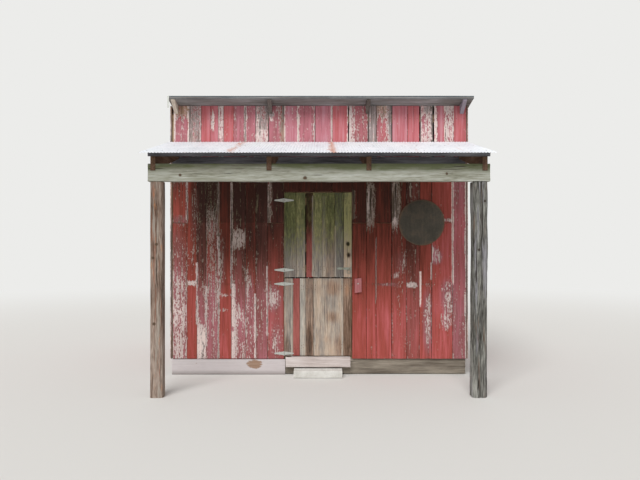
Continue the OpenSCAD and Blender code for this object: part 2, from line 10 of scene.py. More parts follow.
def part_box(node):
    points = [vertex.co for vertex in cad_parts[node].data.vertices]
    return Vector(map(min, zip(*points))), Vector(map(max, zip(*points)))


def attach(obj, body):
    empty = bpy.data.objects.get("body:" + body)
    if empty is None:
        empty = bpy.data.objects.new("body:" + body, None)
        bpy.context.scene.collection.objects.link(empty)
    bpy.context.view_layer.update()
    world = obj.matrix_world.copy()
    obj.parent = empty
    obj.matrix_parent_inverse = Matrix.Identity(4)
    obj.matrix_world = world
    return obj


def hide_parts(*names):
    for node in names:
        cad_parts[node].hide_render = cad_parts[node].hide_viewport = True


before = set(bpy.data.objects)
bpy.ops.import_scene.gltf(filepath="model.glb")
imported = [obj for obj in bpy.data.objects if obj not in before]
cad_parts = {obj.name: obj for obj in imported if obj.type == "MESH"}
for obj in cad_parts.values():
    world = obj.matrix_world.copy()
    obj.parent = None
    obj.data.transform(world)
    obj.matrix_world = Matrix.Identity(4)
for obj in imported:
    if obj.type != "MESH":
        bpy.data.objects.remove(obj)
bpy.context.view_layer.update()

chance = random.Random(11)

# How the photograph was taken, and how its pixels turn into metres on the front wall
photo = {
    "width": 640,             # pixels
    "middleColumn": 319.0,    # column of the shed's middle line
    "eyeRow": 242.0,          # row of the horizon
    "middleRow": 240.0,
    "pixelsPerMetre": 82.9,   # on the front wall
    "eyeHeight": 1.60,
    "eyeDistance": 7.503,     # from the front wall
    "lens": 35.0,
    "sensor": 36.0,
}


def wallX(column):
    return (column - photo["middleColumn"]) / photo["pixelsPerMetre"]


def wallZ(row):
    return photo["eyeHeight"] + (photo["eyeRow"] - row) / photo["pixelsPerMetre"]


def boxAround(*names):
    boxes = [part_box(name) for name in names]
    low = Vector([min(box[0][i] for box in boxes) for i in range(3)])
    high = Vector([max(box[1][i] for box in boxes) for i in range(3)])
    return low, high


frontLow, frontHigh = boxAround("front_wall_left", "front_wall_right")
rearLow, rearHigh = boxAround("rear_wall")
leftLow, leftHigh = boxAround("left_wall")
rightLow, rightHigh = boxAround("right_wall")
headLow, headHigh = boxAround("front_wall_top")
wallFace = frontLow.y
boardThickness = frontHigh.y - frontLow.y


# Small tools for shapes
weldReach = 1e-5    # points closer than this are one point


def smoothStep(value, low, high):
    share = min(1.0, max(0.0, (value - low) / (high - low)))
    return share * share * (3 - 2 * share)


def mixed(a, b, share):
    return a + (b - a) * share


def drift(seed, along, scale=1.0):
    # a slow random line, from about -1 to 1
    return noise.noise(Vector((seed * 7.31, along * scale, seed * 1.7)))


def edgesAlong(part, axis):
    found = []
    for edge in part.edges:
        line = edge.verts[1].co - edge.verts[0].co
        if abs(line[axis]) > 0.98 * line.length:
            found.append(edge)
    return found


def cutAlong(part, axis, cuts):
    if cuts > 0:
        bmesh.ops.subdivide_edges(part, edges=edgesAlong(part, axis), cuts=cuts, use_grid_fill=True)


def roundEdges(part, edges, size, segments=1):
    bmesh.ops.bevel(part, geom=edges, offset=size, offset_type="OFFSET", segments=segments,
                    profile=0.5, affect="EDGES", material=-1, clamp_overlap=True)


def addBox(part, low, high):
    low, high = Vector(low), Vector(high)
    place = Matrix.Translation((low + high) / 2) @ Matrix.Diagonal((*(high - low), 1))
    return bmesh.ops.create_cube(part, size=1, matrix=place)["verts"]


def joined(parts):
    whole = bmesh.new()
    carrier = bpy.data.meshes.new("carrier")
    for part in parts:
        part.to_mesh(carrier)
        part.free()
        whole.from_mesh(carrier)
    bpy.data.meshes.remove(carrier)
    return whole


def makePiece(name, part, finish, body="shed", standsFor=(), smoothAngle=None):
    mesh = bpy.data.meshes.new(name)
    part.to_mesh(mesh)
    part.free()
    mesh.materials.append(finish)
    if smoothAngle:
        mesh.shade_smooth()
        mesh.set_sharp_from_angle(angle=math.radians(smoothAngle))
    piece = bpy.data.objects.new(name, mesh)
    bpy.context.scene.collection.objects.link(piece)
    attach(piece, body)
    if standsFor:
        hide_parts(*standsFor)
    return piece


def subtract(part, cutter):
    # cuts one shape out of another and gives the rest back
    objects = []
    for shape in (part, cutter):
        mesh = bpy.data.meshes.new("blank")
        shape.to_mesh(mesh)
        shape.free()
        blank = bpy.data.objects.new("blank", mesh)
        bpy.context.scene.collection.objects.link(blank)
        objects.append(blank)
    tool = objects[0].modifiers.new("cut", "BOOLEAN")
    tool.operation = "DIFFERENCE"
    tool.solver = "EXACT"
    tool.object = objects[1]
    depsgraph = bpy.context.evaluated_depsgraph_get()
    rest = bmesh.new()
    rest.from_object(objects[0], depsgraph)
    for blank in objects:
        mesh = blank.data
        bpy.data.objects.remove(blank)
        bpy.data.meshes.remove(mesh)
    return rest


def islands(node):
    # the loose solids of a CAD node, each as a list of its points, always in the same order
    part = bmesh.new()
    part.from_mesh(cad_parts[node].data)
    bmesh.ops.remove_doubles(part, verts=part.verts, dist=weldReach)
    left = set(part.verts)
    groups = []
    while left:
        first = left.pop()
        group, queue = [first.co.copy()], [first]
        while queue:
            for edge in queue.pop().link_edges:
                for v in edge.verts:
                    if v in left:
                        left.remove(v)
                        group.append(v.co.copy())
                        queue.append(v)
        groups.append(sorted(group, key=tuple))
    part.free()
    return sorted(groups, key=lambda group: tuple(group[0]))


def frontSpan(group):
    # left, right, low and high end of some points, seen from the front
    across, up = [v.x for v in group], [v.z for v in group]
    return min(across), max(across), min(up), max(up)


# A sawn board, made upright: X is its width, Y its thickness with the face at 0, Z its length
sawnBoard = {
    "rims": (0.007, 0.018, 0.026),    # columns of faces near each edge, where paint is lost first
    "rimShares": (0.08, 0.20, 0.29),  # and at most these shares of a narrow board
    "arris": 0.0018,          # broken edges
    "wander": 0.0014,         # how far the edges stray
    "cup": 0.0016,            # hollow across the face
    "bow": 0.0020,            # bend along the length
    "endWear": 0.004,         # ragged ends
    # waves a metre: of the edges, of their finest part, of the bend, and of the ends
    "edgeWaves": 1.9,
    "fineWaves": 5.0,
    "bowWaves": 0.6,
    "endWaves": 4.0,
}
plainWood = (0.0, 0.5, 0.0, 0.5)    # paint left, fading, primer left, warmth of the bare wood


def makeBoard(length, width, thickness, place, seed, step, look=None, top=None):
    # step is the spacing of the points along it; top gives how far its head moves at a place across it
    board = sawnBoard
    part = bmesh.new()
    lookLayer = part.verts.layers.float_color.new("look")
    warmLayer = part.verts.layers.float.new("warm")
    addBox(part, (0, 0, 0), (width, thickness, length))
    faceEdges = [edge for edge in edgesAlong(part, 0)
                 if all(v.co.y < thickness / 2 for v in edge.verts)]
    rims = [0] + [min(rim, width * share) for rim, share in zip(board["rims"], board["rimShares"])]
    near, far = rims[1], rims[-1]
    columns = rims + [mixed(far, width - far, 1 / 3), mixed(far, width - far, 2 / 3)]
    columns += [width - rim for rim in reversed(rims)]
    last = len(columns) - 1
    bmesh.ops.subdivide_edges(part, edges=faceEdges, cuts=last - 1, use_grid_fill=True)
    for v in part.verts:
        if v.co.y < thickness / 2:
            v.co.x = columns[round(v.co.x / width * last)]
    corners = [edge for edge in edgesAlong(part, 2)
               if all(min(v.co.x, width - v.co.x) < 1e-6 for v in edge.verts)]
    roundEdges(part, corners, min(board["arris"], thickness / 4))
    cutAlong(part, 2, max(1, round(length / step)) - 1)
    rows = {}
    for v in part.verts:
        across, up = v.co.x / width, v.co.z / length
        key = round(v.co.z, 5)
        if key not in rows:
            rows[key] = [drift(seed + shift, v.co.z, board[waves]) for shift, waves in
                         ((0, "edgeWaves"), (31, "edgeWaves"), (57, "bowWaves"), (83, "fineWaves"))]
        left, right, bend, fine = rows[key]
        side = 1 if v.co.x < width / 2 else -1
        toEdge = abs(2 * across - 1)
        v.co.x += board["wander"] * ((left if side > 0 else right) + 0.4 * fine * side) * toEdge
        v.co.y += board["cup"] * (0.5 + 0.5 * drift(seed + 5, 0)) * (1 - (2 * across - 1) ** 2)
        v.co.y += board["bow"] * (0.5 + 0.5 * bend)
        if up < 0.001 or up > 0.999:
            inward = 1 if up < 0.5 else -1
            v.co.z += inward * board["endWear"] * (0.5 + 0.5 * drift(seed + 9, across, board["endWaves"]))
        if top:
            v.co.z += up * top(across * width)
    for v in part.verts:
        edge = -1 if v.co.x < near * 0.6 else 1 if v.co.x > width - near * 0.6 else 0
        seen = look and v.co.y < thickness * 0.8
        paint, fade, primer, warm = look(place @ v.co, edge) if seen else plainWood
        v[lookLayer] = (paint, fade, primer, seed)
        v[warmLayer] = warm
    part.transform(place)
    return part


# Nails: low domed heads, set on the surface that they meet
nail = {
    "radius": 0.0048,
    "height": 0.0014,       # over the surface
    "sunk": 0.2,            # share of that height that lies below it too
    "crown": 0.62,          # radius on top, as a share
    "sides": 8,
    "edge": 0.026,          # from a board's edge
    "narrow": 0.085,        # boards narrower than this get one nail instead of two
    "stray": 0.006,
    "ends": 0.045,          # from a board's ends
    "rails": (1.10, 1.80, 2.45, 3.09),
    "railPlay": (0.10, 0.02),   # a rail closer than this to the board's foot or head gets no nails
    "longEnd": 0.3,         # the head is nailed as well if it stands this far over the last rail
    "clear": 0.003,         # kept free round a fitting
    "frontDepth": 0.01,     # a place this close to the front wall's face counts as on it
    "search": 0.1,          # the surface is sought this far before and behind a nail's place
}


def nailPlaces(left, right, foot, head):
    # two nails at each rail behind the board, and at its ends
    middle = (left + right) / 2
    columns = [middle] if right - left < nail["narrow"] else [left + nail["edge"], right - nail["edge"]]
    overFoot, underHead = nail["railPlay"]
    rows = [foot + nail["ends"]]
    rows += [rail for rail in nail["rails"] if foot + overFoot < rail < head - underHead]
    if head - rows[-1] > nail["longEnd"]:
        rows.append(head - nail["ends"])
    return [(x + chance.uniform(-1, 1) * nail["stray"], z + chance.uniform(-1, 1) * nail["stray"])
            for x in columns for z in rows]


def addHead(part, spot, outward, radius):
    height, sunk = nail["height"], nail["sunk"]
    turn = Vector((0, 0, 1)).rotation_difference(outward).to_matrix().to_4x4()
    place = Matrix.Translation(spot + outward * height * (0.5 - sunk)) @ turn
    bmesh.ops.create_cone(part, cap_ends=True, segments=nail["sides"], radius1=radius,
                          radius2=radius * nail["crown"], depth=height * (1 + 2 * sunk), matrix=place)


# places on the front that fittings cover, where no nail goes
frontFittings = ("wall_hinge_straps", "upper_leaf_straps", "lower_leaf_straps", "hasp", "button_screw")
fittings = [frontSpan(group) for node in frontFittings for group in islands(node)]


def underFitting(spot):
    play = nail["radius"] + nail["clear"]
    onFront = spot.y < wallFace + nail["frontDepth"]
    return onFront and any(left - play < spot.x < right + play and low - play < spot.z < high + play
                           for left, right, low, high in fittings)


def surfaceOf(piece):
    mesh = piece.data
    return BVHTree.FromPolygons([v.co for v in mesh.vertices], [p.vertices for p in mesh.polygons])


def driveNails(name, piece, spots, inward, body="shed", radius=nail["radius"]):
    tree = surfaceOf(piece)
    part = bmesh.new()
    search = nail["search"]
    for spot in spots:
        found = tree.ray_cast(spot - inward * search, inward, 2 * search)[0]
        if found is not None and not underFitting(spot):
            addHead(part, found, -inward, radius)
    return makePiece(name, part, finishes["nails"], body=body)


# Materials

def colourOf(values):
    # from the 0 to 255 of a paint chart to the renderer's linear values
    shares = [value / 255 for value in values]
    linear = [share / 12.92 if share <= 0.04045 else ((share + 0.055) / 1.055) ** 2.4 for share in shares]
    return (*linear, 1.0)


seedStep = (3.7, 5.3, 9.1)      # metres that the patterns move for each step of a board's seed


class Finish:
    # one material, with short words for the nodes that are used here
    def __init__(self, name):
        self.material = bpy.data.materials.new(name)
        self.material.use_nodes = True
        self.tree = self.material.node_tree
        self.shader = self.tree.nodes["Principled BSDF"]
        self.place = self.add("TexCoord").outputs["Object"]
        self.patternPlace = self.place

    def add(self, kind, **settings):
        node = self.tree.nodes.new("ShaderNode" + kind)
        for name, value in settings.items():
            setattr(node, name, value)
        return node

    def feed(self, socket, value):
        if isinstance(value, bpy.types.NodeSocket):
            self.tree.links.new(value, socket)
        else:
            socket.default_value = value

    def look(self):
        # a board's own values: paint, fading, primer, seed and warmth
        node = self.add("Attribute", attribute_name="look")
        parts = self.add("SeparateColor")
        self.feed(parts.inputs["Color"], node.outputs["Color"])
        warm = self.add("Attribute", attribute_name="warm").outputs["Fac"]
        three = [parts.outputs[name] for name in ("Red", "Green", "Blue")]
        return (*three, node.outputs["Alpha"], warm)

    def axis(self, name):
        node = self.add("SeparateXYZ")
        self.feed(node.inputs["Vector"], self.place)
        return node.outputs[name]

    def sums(self, operation, a, b=0.0):
        node = self.add("Math", operation=operation)
        self.feed(node.inputs[0], a)
        self.feed(node.inputs[1], b)
        return node.outputs[0]

    def away(self, value):
        # how far a pattern lies from its middle
        return self.sums("SUBTRACT", value, 0.5)

    def total(self, start, *shares):
        # a value plus other values, each times its own weight
        for value, weight in shares:
            node = self.add("Math", operation="MULTIPLY_ADD")
            self.feed(node.inputs[0], value)
            self.feed(node.inputs[1], weight)
            self.feed(node.inputs[2], start)
            start = node.outputs[0]
        return start

    def shift(self, seed):
        # each board gets its own stretch of the patterns
        spread = self.add("VectorMath", operation="SCALE")
        spread.inputs[0].default_value = seedStep
        self.feed(spread.inputs["Scale"], seed)
        moved = self.add("VectorMath", operation="ADD")
        self.feed(moved.inputs[0], self.place)
        self.feed(moved.inputs[1], spread.outputs[0])
        self.patternPlace = moved.outputs[0]

    def pattern(self, kind, waves, **settings):
        # a texture with its number of waves a metre along X, Y and Z
        spread = self.add("Mapping")
        self.feed(spread.inputs["Vector"], self.patternPlace)
        spread.inputs["Scale"].default_value = waves
        node = self.add(kind)
        self.feed(node.inputs["Vector"], spread.outputs["Vector"])
        for name, value in {"Scale": 1.0, **settings}.items():
            node.inputs[name].default_value = value
        return node

    def grains(self, waves, detail, rough, warp=0.0):
        node = self.pattern("TexNoise", waves, Detail=detail, Roughness=rough, Distortion=warp)
        return node.outputs["Fac"]

    def cells(self, waves):
        return self.pattern("TexVoronoi", waves).outputs["Distance"]

    def level(self, value, low, high, toLow=0.0, toHigh=1.0):
        node = self.add("MapRange", interpolation_type="SMOOTHSTEP")
        self.feed(node.inputs["Value"], value)
        self.feed(node.inputs["From Min"], low)
        self.feed(node.inputs["From Max"], high)
        self.feed(node.inputs["To Min"], toLow)
        self.feed(node.inputs["To Max"], toHigh)
        return node.outputs["Result"]

    def blend(self, share, a, b, mode="MIX"):
        node = self.add("Mix", data_type="RGBA", blend_type=mode)
        self.feed(node.inputs[0], share)
        self.feed(node.inputs[6], colourOf(a) if isinstance(a, tuple) else a)
        self.feed(node.inputs[7], colourOf(b) if isinstance(b, tuple) else b)
        return node.outputs[2]

    def ramp(self, value, stops):
        node = self.add("ValToRGB")
        self.feed(node.inputs["Fac"], value)
        bar = node.color_ramp.elements
        while len(bar) < len(stops):
            bar.new(0.5)
        for stop, (position, colour) in zip(bar, stops):
            stop.position = position
            stop.color = colourOf(colour)
        return node.outputs["Color"]

    def surface(self, colour, rough, height=None, depth=0.002, metallic=0.0, gloss=0.35):
        self.feed(self.shader.inputs["Base Color"], colour)
        self.feed(self.shader.inputs["Roughness"], rough)
        self.feed(self.shader.inputs["Metallic"], metallic)
        self.shader.inputs["Specular IOR Level"].default_value = gloss
        if height is not None:
            bump = self.add("Bump")
            bump.inputs["Distance"].default_value = depth
            self.feed(bump.inputs["Height"], height)
            self.feed(self.shader.inputs["Normal"], bump.outputs["Normal"])
        return self.material


# Barn paint on boards: the look attribute gives paint left, sun fading (which on the front wall also carries
# the porch roof's painted shade) and pale primer left
barnPaint = {
    "bricks": [(0.0, (60, 27, 17)), (0.2, (98, 42, 29)), (0.4, (138, 63, 51)), (0.58, (160, 74, 66)),
               (0.78, (188, 96, 98)), (1.0, (196, 132, 138))],
    "pinks": [(0.0, (56, 29, 22)), (0.2, (90, 50, 42)), (0.4, (128, 74, 70)), (0.58, (154, 94, 98)),
              (0.78, (182, 112, 122)), (1.0, (194, 146, 156))],
    "woods": [(0.0, (44, 35, 27)), (0.3, (96, 83, 72)), (0.7, (152, 137, 135)), (1.0, (196, 184, 186))],
    "tans": [(0.0, (58, 42, 26)), (0.5, (140, 104, 78)), (1.0, (206, 164, 136))],
    "primers": [(0.0, (108, 98, 78)), (0.4, (166, 150, 142)), (0.8, (208, 190, 186)), (1.0, (232, 212, 204))],
    "streaks": (40.0, 40.0, 1.9),      # runs down the boards, in waves a metre
    "grain": (125.0, 125.0, 4.5),
    "chips": (38.0, 38.0, 12.0),
    "specks": (72.0, 72.0, 34.0),
    "cracks": (170.0, 170.0, 1.3),
    "slow": (8.0, 8.0, 1.6),
    "wear": {"streaks": 1.3, "grain": 1.4, "chips": 1.4, "specks": 1.6},   # how far each eats into the paint
    "edge": 0.045,                     # softness of the paint's broken edge
    "deepens": 0.42,
}


def makeBarnPaint():
    values = barnPaint
    f = Finish("barn_paint")
    paint, fade, primer, seed, warm = f.look()
    f.shift(seed)
    streaks = f.away(f.grains(values["streaks"], 5.0, 0.6))
    grain = f.away(f.grains(values["grain"], 5.0, 0.62))
    chips = f.away(f.grains(values["chips"], 7.0, 0.7))
    specks = f.away(f.grains(values["specks"], 4.0, 0.6))
    slow = f.away(f.grains(values["slow"], 3.0, 0.5))
    crack = f.grains(values["cracks"], 2.0, 0.4)

    # the level of paint left is pushed about by four patterns, and primer shows round the bare places
    wear, edge = values["wear"], values["edge"]
    left = f.total(paint, (streaks, wear["streaks"]), (grain, wear["grain"]),
                   (chips, wear["chips"]), (specks, wear["specks"]))
    painted = f.level(left, 0.5 - edge, 0.5 + edge)
    primed = f.level(f.total(left, (primer, 0.7)), 0.5 - edge, 0.5 + edge)
    worn = f.sums("SUBTRACT", paint, 1.0)   # what is left on a worn board is the old deep coat
    depth = f.total(fade, (worn, values["deepens"]), (streaks, 0.7), (slow, 0.35), (grain, 0.45))
    red = f.blend(f.level(f.total(warm, (slow, 0.5)), 0.2, 0.8), f.ramp(depth, values["pinks"]),
                  f.ramp(depth, values["bricks"]))
    woodLight = f.total(f.sums("MULTIPLY", fade, 0.78), (grain, 1.1), (streaks, 1.0), (slow, 0.4))
    tanShare = f.level(f.total(warm, (slow, 1.6), (streaks, 1.0)), 0.3, 0.9, 0.0, 0.85)
    wood = f.blend(tanShare, f.ramp(woodLight, values["woods"]), f.ramp(woodLight, values["tans"]))
    white = f.ramp(f.total(fade, (grain, 0.6), (streaks, 0.6)), values["primers"])
    colour = f.blend(painted, f.blend(primed, wood, white), red)
    slit = f.level(crack, 0.27, 0.33, 0.5, 1.0)
    colour = f.blend(1.0, colour, f.blend(slit, (70, 50, 42), (255, 255, 255)), "MULTIPLY")
    height = f.total(f.sums("MULTIPLY", painted, 0.30), (primed, 0.15), (grain, 0.7), (streaks, 0.6),
                     (slit, 0.5))
    return f.surface(colour, f.level(painted, 0.0, 1.0, 0.9, 0.66), height, depth=0.0016, gloss=0.22)


# Weathered timber: grain, stains, cracks and knots, and green growth between two heights
sawnTimber = {
    "grain": 64.0,      # waves a metre across the grain
    "stretch": 24.0,    # how many times fewer along it
    "slow": (6.0, 3.5),     # the same two for the broad light and dark parts
    "contrast": 1.0,
    "fibre": 0.7,       # how plainly the finest grain shows
    "crack": 0.29,      # more of the timber is cracked as this rises
    "slit": (44, 38, 32),
    "knots": 3.2,       # a metre
    "knotTone": (84, 68, 54),
    "setKnots": (),     # X, Z and radius of knots that show in front
    "growth": None,
    "tints": (),        # from X, to X, colour and amount
    "stains": (),       # waves a metre across and along, colour, amount and how rare
    "bump": 0.0022,
}


def makeTimberFinish(name, along, tones, values):
    # along is the axis of the grain
    f = Finish(name)

    def drawnOut(waves, stretch):
        # so many waves a metre across the grain, and fewer along it
        counts = [waves] * 3
        counts[along] /= stretch
        return counts

    waves, stretch = values["grain"], values["stretch"]
    grain = f.away(f.grains(drawnOut(waves, stretch), 5.0, 0.6, 0.25))
    hairs = f.away(f.grains(drawnOut(waves * 2.7, stretch * 0.8), 3.0, 0.6))
    broad = f.away(f.grains(drawnOut(*values["slow"]), 4.0, 0.55))
    crack = f.grains(drawnOut(waves * 1.2, stretch * 2.4), 3.0, 0.45, 0.2)
    contrast = values["contrast"]
    tone = f.total(0.52, (grain, 1.0 * contrast), (broad, 1.2 * contrast),
                   (hairs, values["fibre"] * contrast))
    colour = f.ramp(tone, tones)
    for across, lengthwise, stain, amount, rare in values["stains"]:
        share = f.level(f.total(f.grains(drawnOut(across, across / lengthwise), 5.0, 0.6), (grain, 0.4)),
                        rare, rare + 0.1)
        colour = f.blend(f.sums("MULTIPLY", share, amount), colour, stain)
    for fromX, toX, tint, amount in values["tints"]:
        colour = f.blend(f.level(f.axis("X"), fromX, toX, 0.0, amount), colour, tint)
    if values["growth"]:
        growth = values["growth"]
        rise = f.level(f.axis("Z"), growth["from"], growth["to"])
        green = f.level(f.total(rise, (broad, 2.2), (hairs, 1.2), (grain, 0.8)), 0.25, 1.0)
        colour = f.blend(f.sums("MULTIPLY", green, growth["amount"]), colour, growth["colour"])
    knot = f.level(f.cells([values["knots"]] * 3), 0.04, 0.085)
    for knotX, knotZ, radius in values["setKnots"]:
        across, up = f.sums("SUBTRACT", f.axis("X"), knotX), f.sums("SUBTRACT", f.axis("Z"), knotZ)
        squares = f.sums("ADD", f.sums("MULTIPLY", across, across), f.sums("MULTIPLY", up, up))
        away = f.sums("POWER", squares, 0.5)
        knot = f.sums("MULTIPLY", knot, f.level(f.total(away, (grain, radius)), radius * 0.4, radius))
    colour = f.blend(knot, values["knotTone"], colour)
    slit = f.level(crack, values["crack"] - 0.03, values["crack"] + 0.03)
    colour = f.blend(slit, values["slit"], colour)
    height = f.total(f.sums("MULTIPLY", slit, 0.8), (grain, 0.9), (hairs, 0.5), (knot, 0.2))
    return f.surface(colour, 0.88, height, depth=values["bump"], gloss=0.2)


# four tones of each wood, from dark to light
woodStops = (0.0, 0.35, 0.65, 1.0)
woodTones = {
    "grey": ((54, 52, 47), (92, 91, 86), (118, 117, 111), (154, 153, 146)),
    "beam": ((108, 106, 92), (146, 146, 132), (164, 165, 154), (186, 187, 178)),
    "brown": ((74, 56, 46), (116, 98, 86), (140, 123, 111), (172, 156, 144)),
    "frame": ((92, 70, 50), (146, 118, 90), (172, 144, 112), (190, 164, 132)),
    "roof": ((70, 60, 54), (108, 102, 98), (134, 130, 128), (166, 162, 162)),
    # porch ledger and purlins: partly the timber's own grey, partly painted shade from under the porch sheets
    "under": ((42, 41, 43), (78, 77, 81), (102, 102, 107), (132, 131, 135)),
    "rafter": ((46, 34, 26), (82, 62, 48), (106, 82, 66), (134, 110, 92)),
    "tail": ((52, 44, 38), (84, 74, 68), (108, 98, 92), (140, 130, 124)),
    "base": ((66, 58, 50), (112, 103, 92), (140, 131, 118), (170, 160, 148)),
    "plank": ((142, 124, 118), (190, 178, 173), (206, 196, 192), (222, 214, 211)),
}


def timber(name, along, wood, **changes):
    tones = list(zip(woodStops, woodTones[wood]))
    return makeTimberFinish(name, along, tones, {**sawnTimber, **changes})


finishes = {
    "barn": makeBarnPaint(),
    "beam": timber("beam_timber", 0, "beam", stretch=18.0, contrast=1.2, crack=0.30, knots=2.6,
                   fibre=1.3, setKnots=((-1.424, 2.286, 0.022), (-0.143, 2.256, 0.026), (1.31, 2.30, 0.018)),
                   stains=((24.0, 1.6, (118, 118, 98), 0.5, 0.54),
                           (16.0, 1.2, (196, 198, 192), 0.5, 0.60)),
                   growth={"from": 2.265, "to": 2.40, "colour": (86, 92, 58), "amount": 0.9}),
    "postLeft": timber("left_post_timber", 2, "brown", crack=0.32, contrast=1.4, knots=4.0,
                       fibre=1.6, setKnots=((-1.701, 1.436, 0.020), (-1.691, 0.760, 0.024)),
                       stains=((22.0, 1.6, (158, 150, 140), 0.7, 0.53),
                               (30.0, 2.2, (126, 74, 50), 0.6, 0.55),
                               (34.0, 5.0, (176, 122, 84), 0.6, 0.62))),
    "postRight": timber("right_post_timber", 2, "grey", crack=0.35, contrast=1.5, knots=4.0,
                        fibre=1.8, setKnots=((1.64, 1.52, 0.020), (1.70, 2.02, 0.018)),
                        knotTone=(62, 54, 48),
                        stains=((20.0, 1.5, (140, 138, 144), 0.7, 0.52),
                                (26.0, 2.4, (100, 76, 60), 0.6, 0.57),
                                (40.0, 3.0, (38, 36, 36), 0.7, 0.62))),
    "frameUp": timber("frame_timber_up", 2, "frame", bump=0.001, crack=0.25),
    "frameAcross": timber("frame_timber_across", 0, "frame", bump=0.001, crack=0.25),
    "frameDeep": timber("frame_timber_deep", 1, "frame", bump=0.001, crack=0.25),
    "roofAcross": timber("roof_timber_across", 0, "roof"),
    "underAcrossPaintedShade": timber("porch_timber_painted_shade", 0, "under"),
    "underDeep": timber("porch_timber_deep", 1, "rafter"),
    "tails": timber("rafter_timber", 1, "tail",
                    tints=((-1.60, -1.66, (214, 200, 184), 0.85), (1.60, 1.66, (158, 148, 160), 0.8))),
    "baseAcross": timber("base_timber_across", 0, "base", grain=50.0),
    "baseDeep": timber("base_timber_deep", 1, "base", grain=50.0),
    "plank": timber("plank_timber", 0, "plank", crack=0.27, knots=1.6),
}


nailIron = {
    "spots": (140.0, 140.0, 140.0),     # waves a metre
    "tones": [(0.3, (52, 42, 36)), (0.5, (92, 66, 50)), (0.75, (128, 92, 70))],
}


def makeNailFinish():
    # old nail heads: dark iron under rust
    values = nailIron
    f = Finish("nail_iron")
    spots = f.grains(values["spots"], 5.0, 0.6)
    return f.surface(f.ramp(spots, values["tones"]), 0.8, spots, depth=0.0003, metallic=0.2)


finishes["nails"] = makeNailFinish()
print("finishes made")


# Front wall: an upper course of boards over the porch roof and a lower one under it, left to right.
# Seams are in pixels of the photograph, and gaps are those of the seams that stand open
courseLine = 2.56       # height of the joint between the courses, behind the porch ledger
oldLine = wallZ(223)    # boards end here, and the paint over it is dark: partly its own darker coat, partly painted shade of the porch roof
upperCourse = {
    "seams": [171.9, 189.3, 201, 210.6, 218.3, 223.5, 233.8, 245.3, 255.5, 268.6, 284.2, 298.2, 315, 332,
              348.4, 368.2, 376.3, 391.9, 407.5, 420, 433.4, 445, 454, 466.1],
    "kinds": ["dusty", "bare", "bright", "cracked", "flaking", "bright", "streaked", "dusty", "bare", "dusty",
              "rosy", "dusty", "rosy", "bright", "patchy", "grey", "patchy", "clear", "bright", "flaking",
              "clear", "flaking", "bright"],
    "gaps": {0: 0.026, 9: 0.009, 12: 0.008, 14: 0.013, 15: 0.010, 16: 0.006, 17: 0.011, 19: 0.018, 20: 0.020},
    "split": (),
}
lowerCourse = {
    "seams": [171.9, 187, 197, 206, 218.3, 231.5, 245.6, 256, 267.5, 283.85, 299, 315.5, 332, 352.16, 366.3,
              376, 391.7, 406.5, 419.5, 431.8, 452.6, 466.1],
    "kinds": ["scuffed", "clean", "tired", "worn", "clean", "tired", "scuffed", "tired", "scuffed", "clean",
              "clean", "clean", "clean", "clean", "clean", "clean", "scuffed", "scuffed", "clean", "clean",
              "tired"],
    "gaps": {0: 0.014, 12: 0.006, 16: 0.006, 19: 0.006},
    "split": (0, 8, 13, 15, 19),    # boards in two lengths, cut at the old line
}
openGap = 0.003                     # every other seam
cornerGap = 0.001                   # from the last board to the right wall's face
doorPlay = 0.01                     # boards over the door may pass its sides by this much
backGap = 0.006                     # boards are this much thinner than the wall that they stand for
boardProud = 0.003                  # and stand up to this much behind its face
frontStep = 0.015                   # spacing of the points along a board, close enough for the paint
# paint left, fading, primer left, and warmth: of the bare wood, and brick red against pink in the paint
paintKinds = {
    "bright": (1.02, 0.77, 0.25, 0.6),
    "clear": (1.08, 0.83, 0.20, 0.5),
    "rosy": (0.90, 0.84, 0.40, 0.2),
    "dusty": (0.76, 0.79, 0.35, 0.2),
    "streaked": (0.84, 0.79, 0.40, 0.2),
    "cracked": (0.94, 0.77, 0.45, 0.5),
    "patchy": (0.70, 0.78, 0.45, 0.4),
    "flaking": (0.46, 0.86, 0.70, 0.1),
    "bare": (0.34, 0.78, 0.15, 0.25),
    "grey": (0.04, 0.84, 0.20, 0.25),
    "clean": (1.04, 0.52, 0.35, 0.9),
    "scuffed": (0.88, 0.52, 0.50, 0.5),
    "tired": (0.84, 0.54, 0.50, 0.05),
    "worn": (0.66, 0.50, 0.20, 0.1),
}
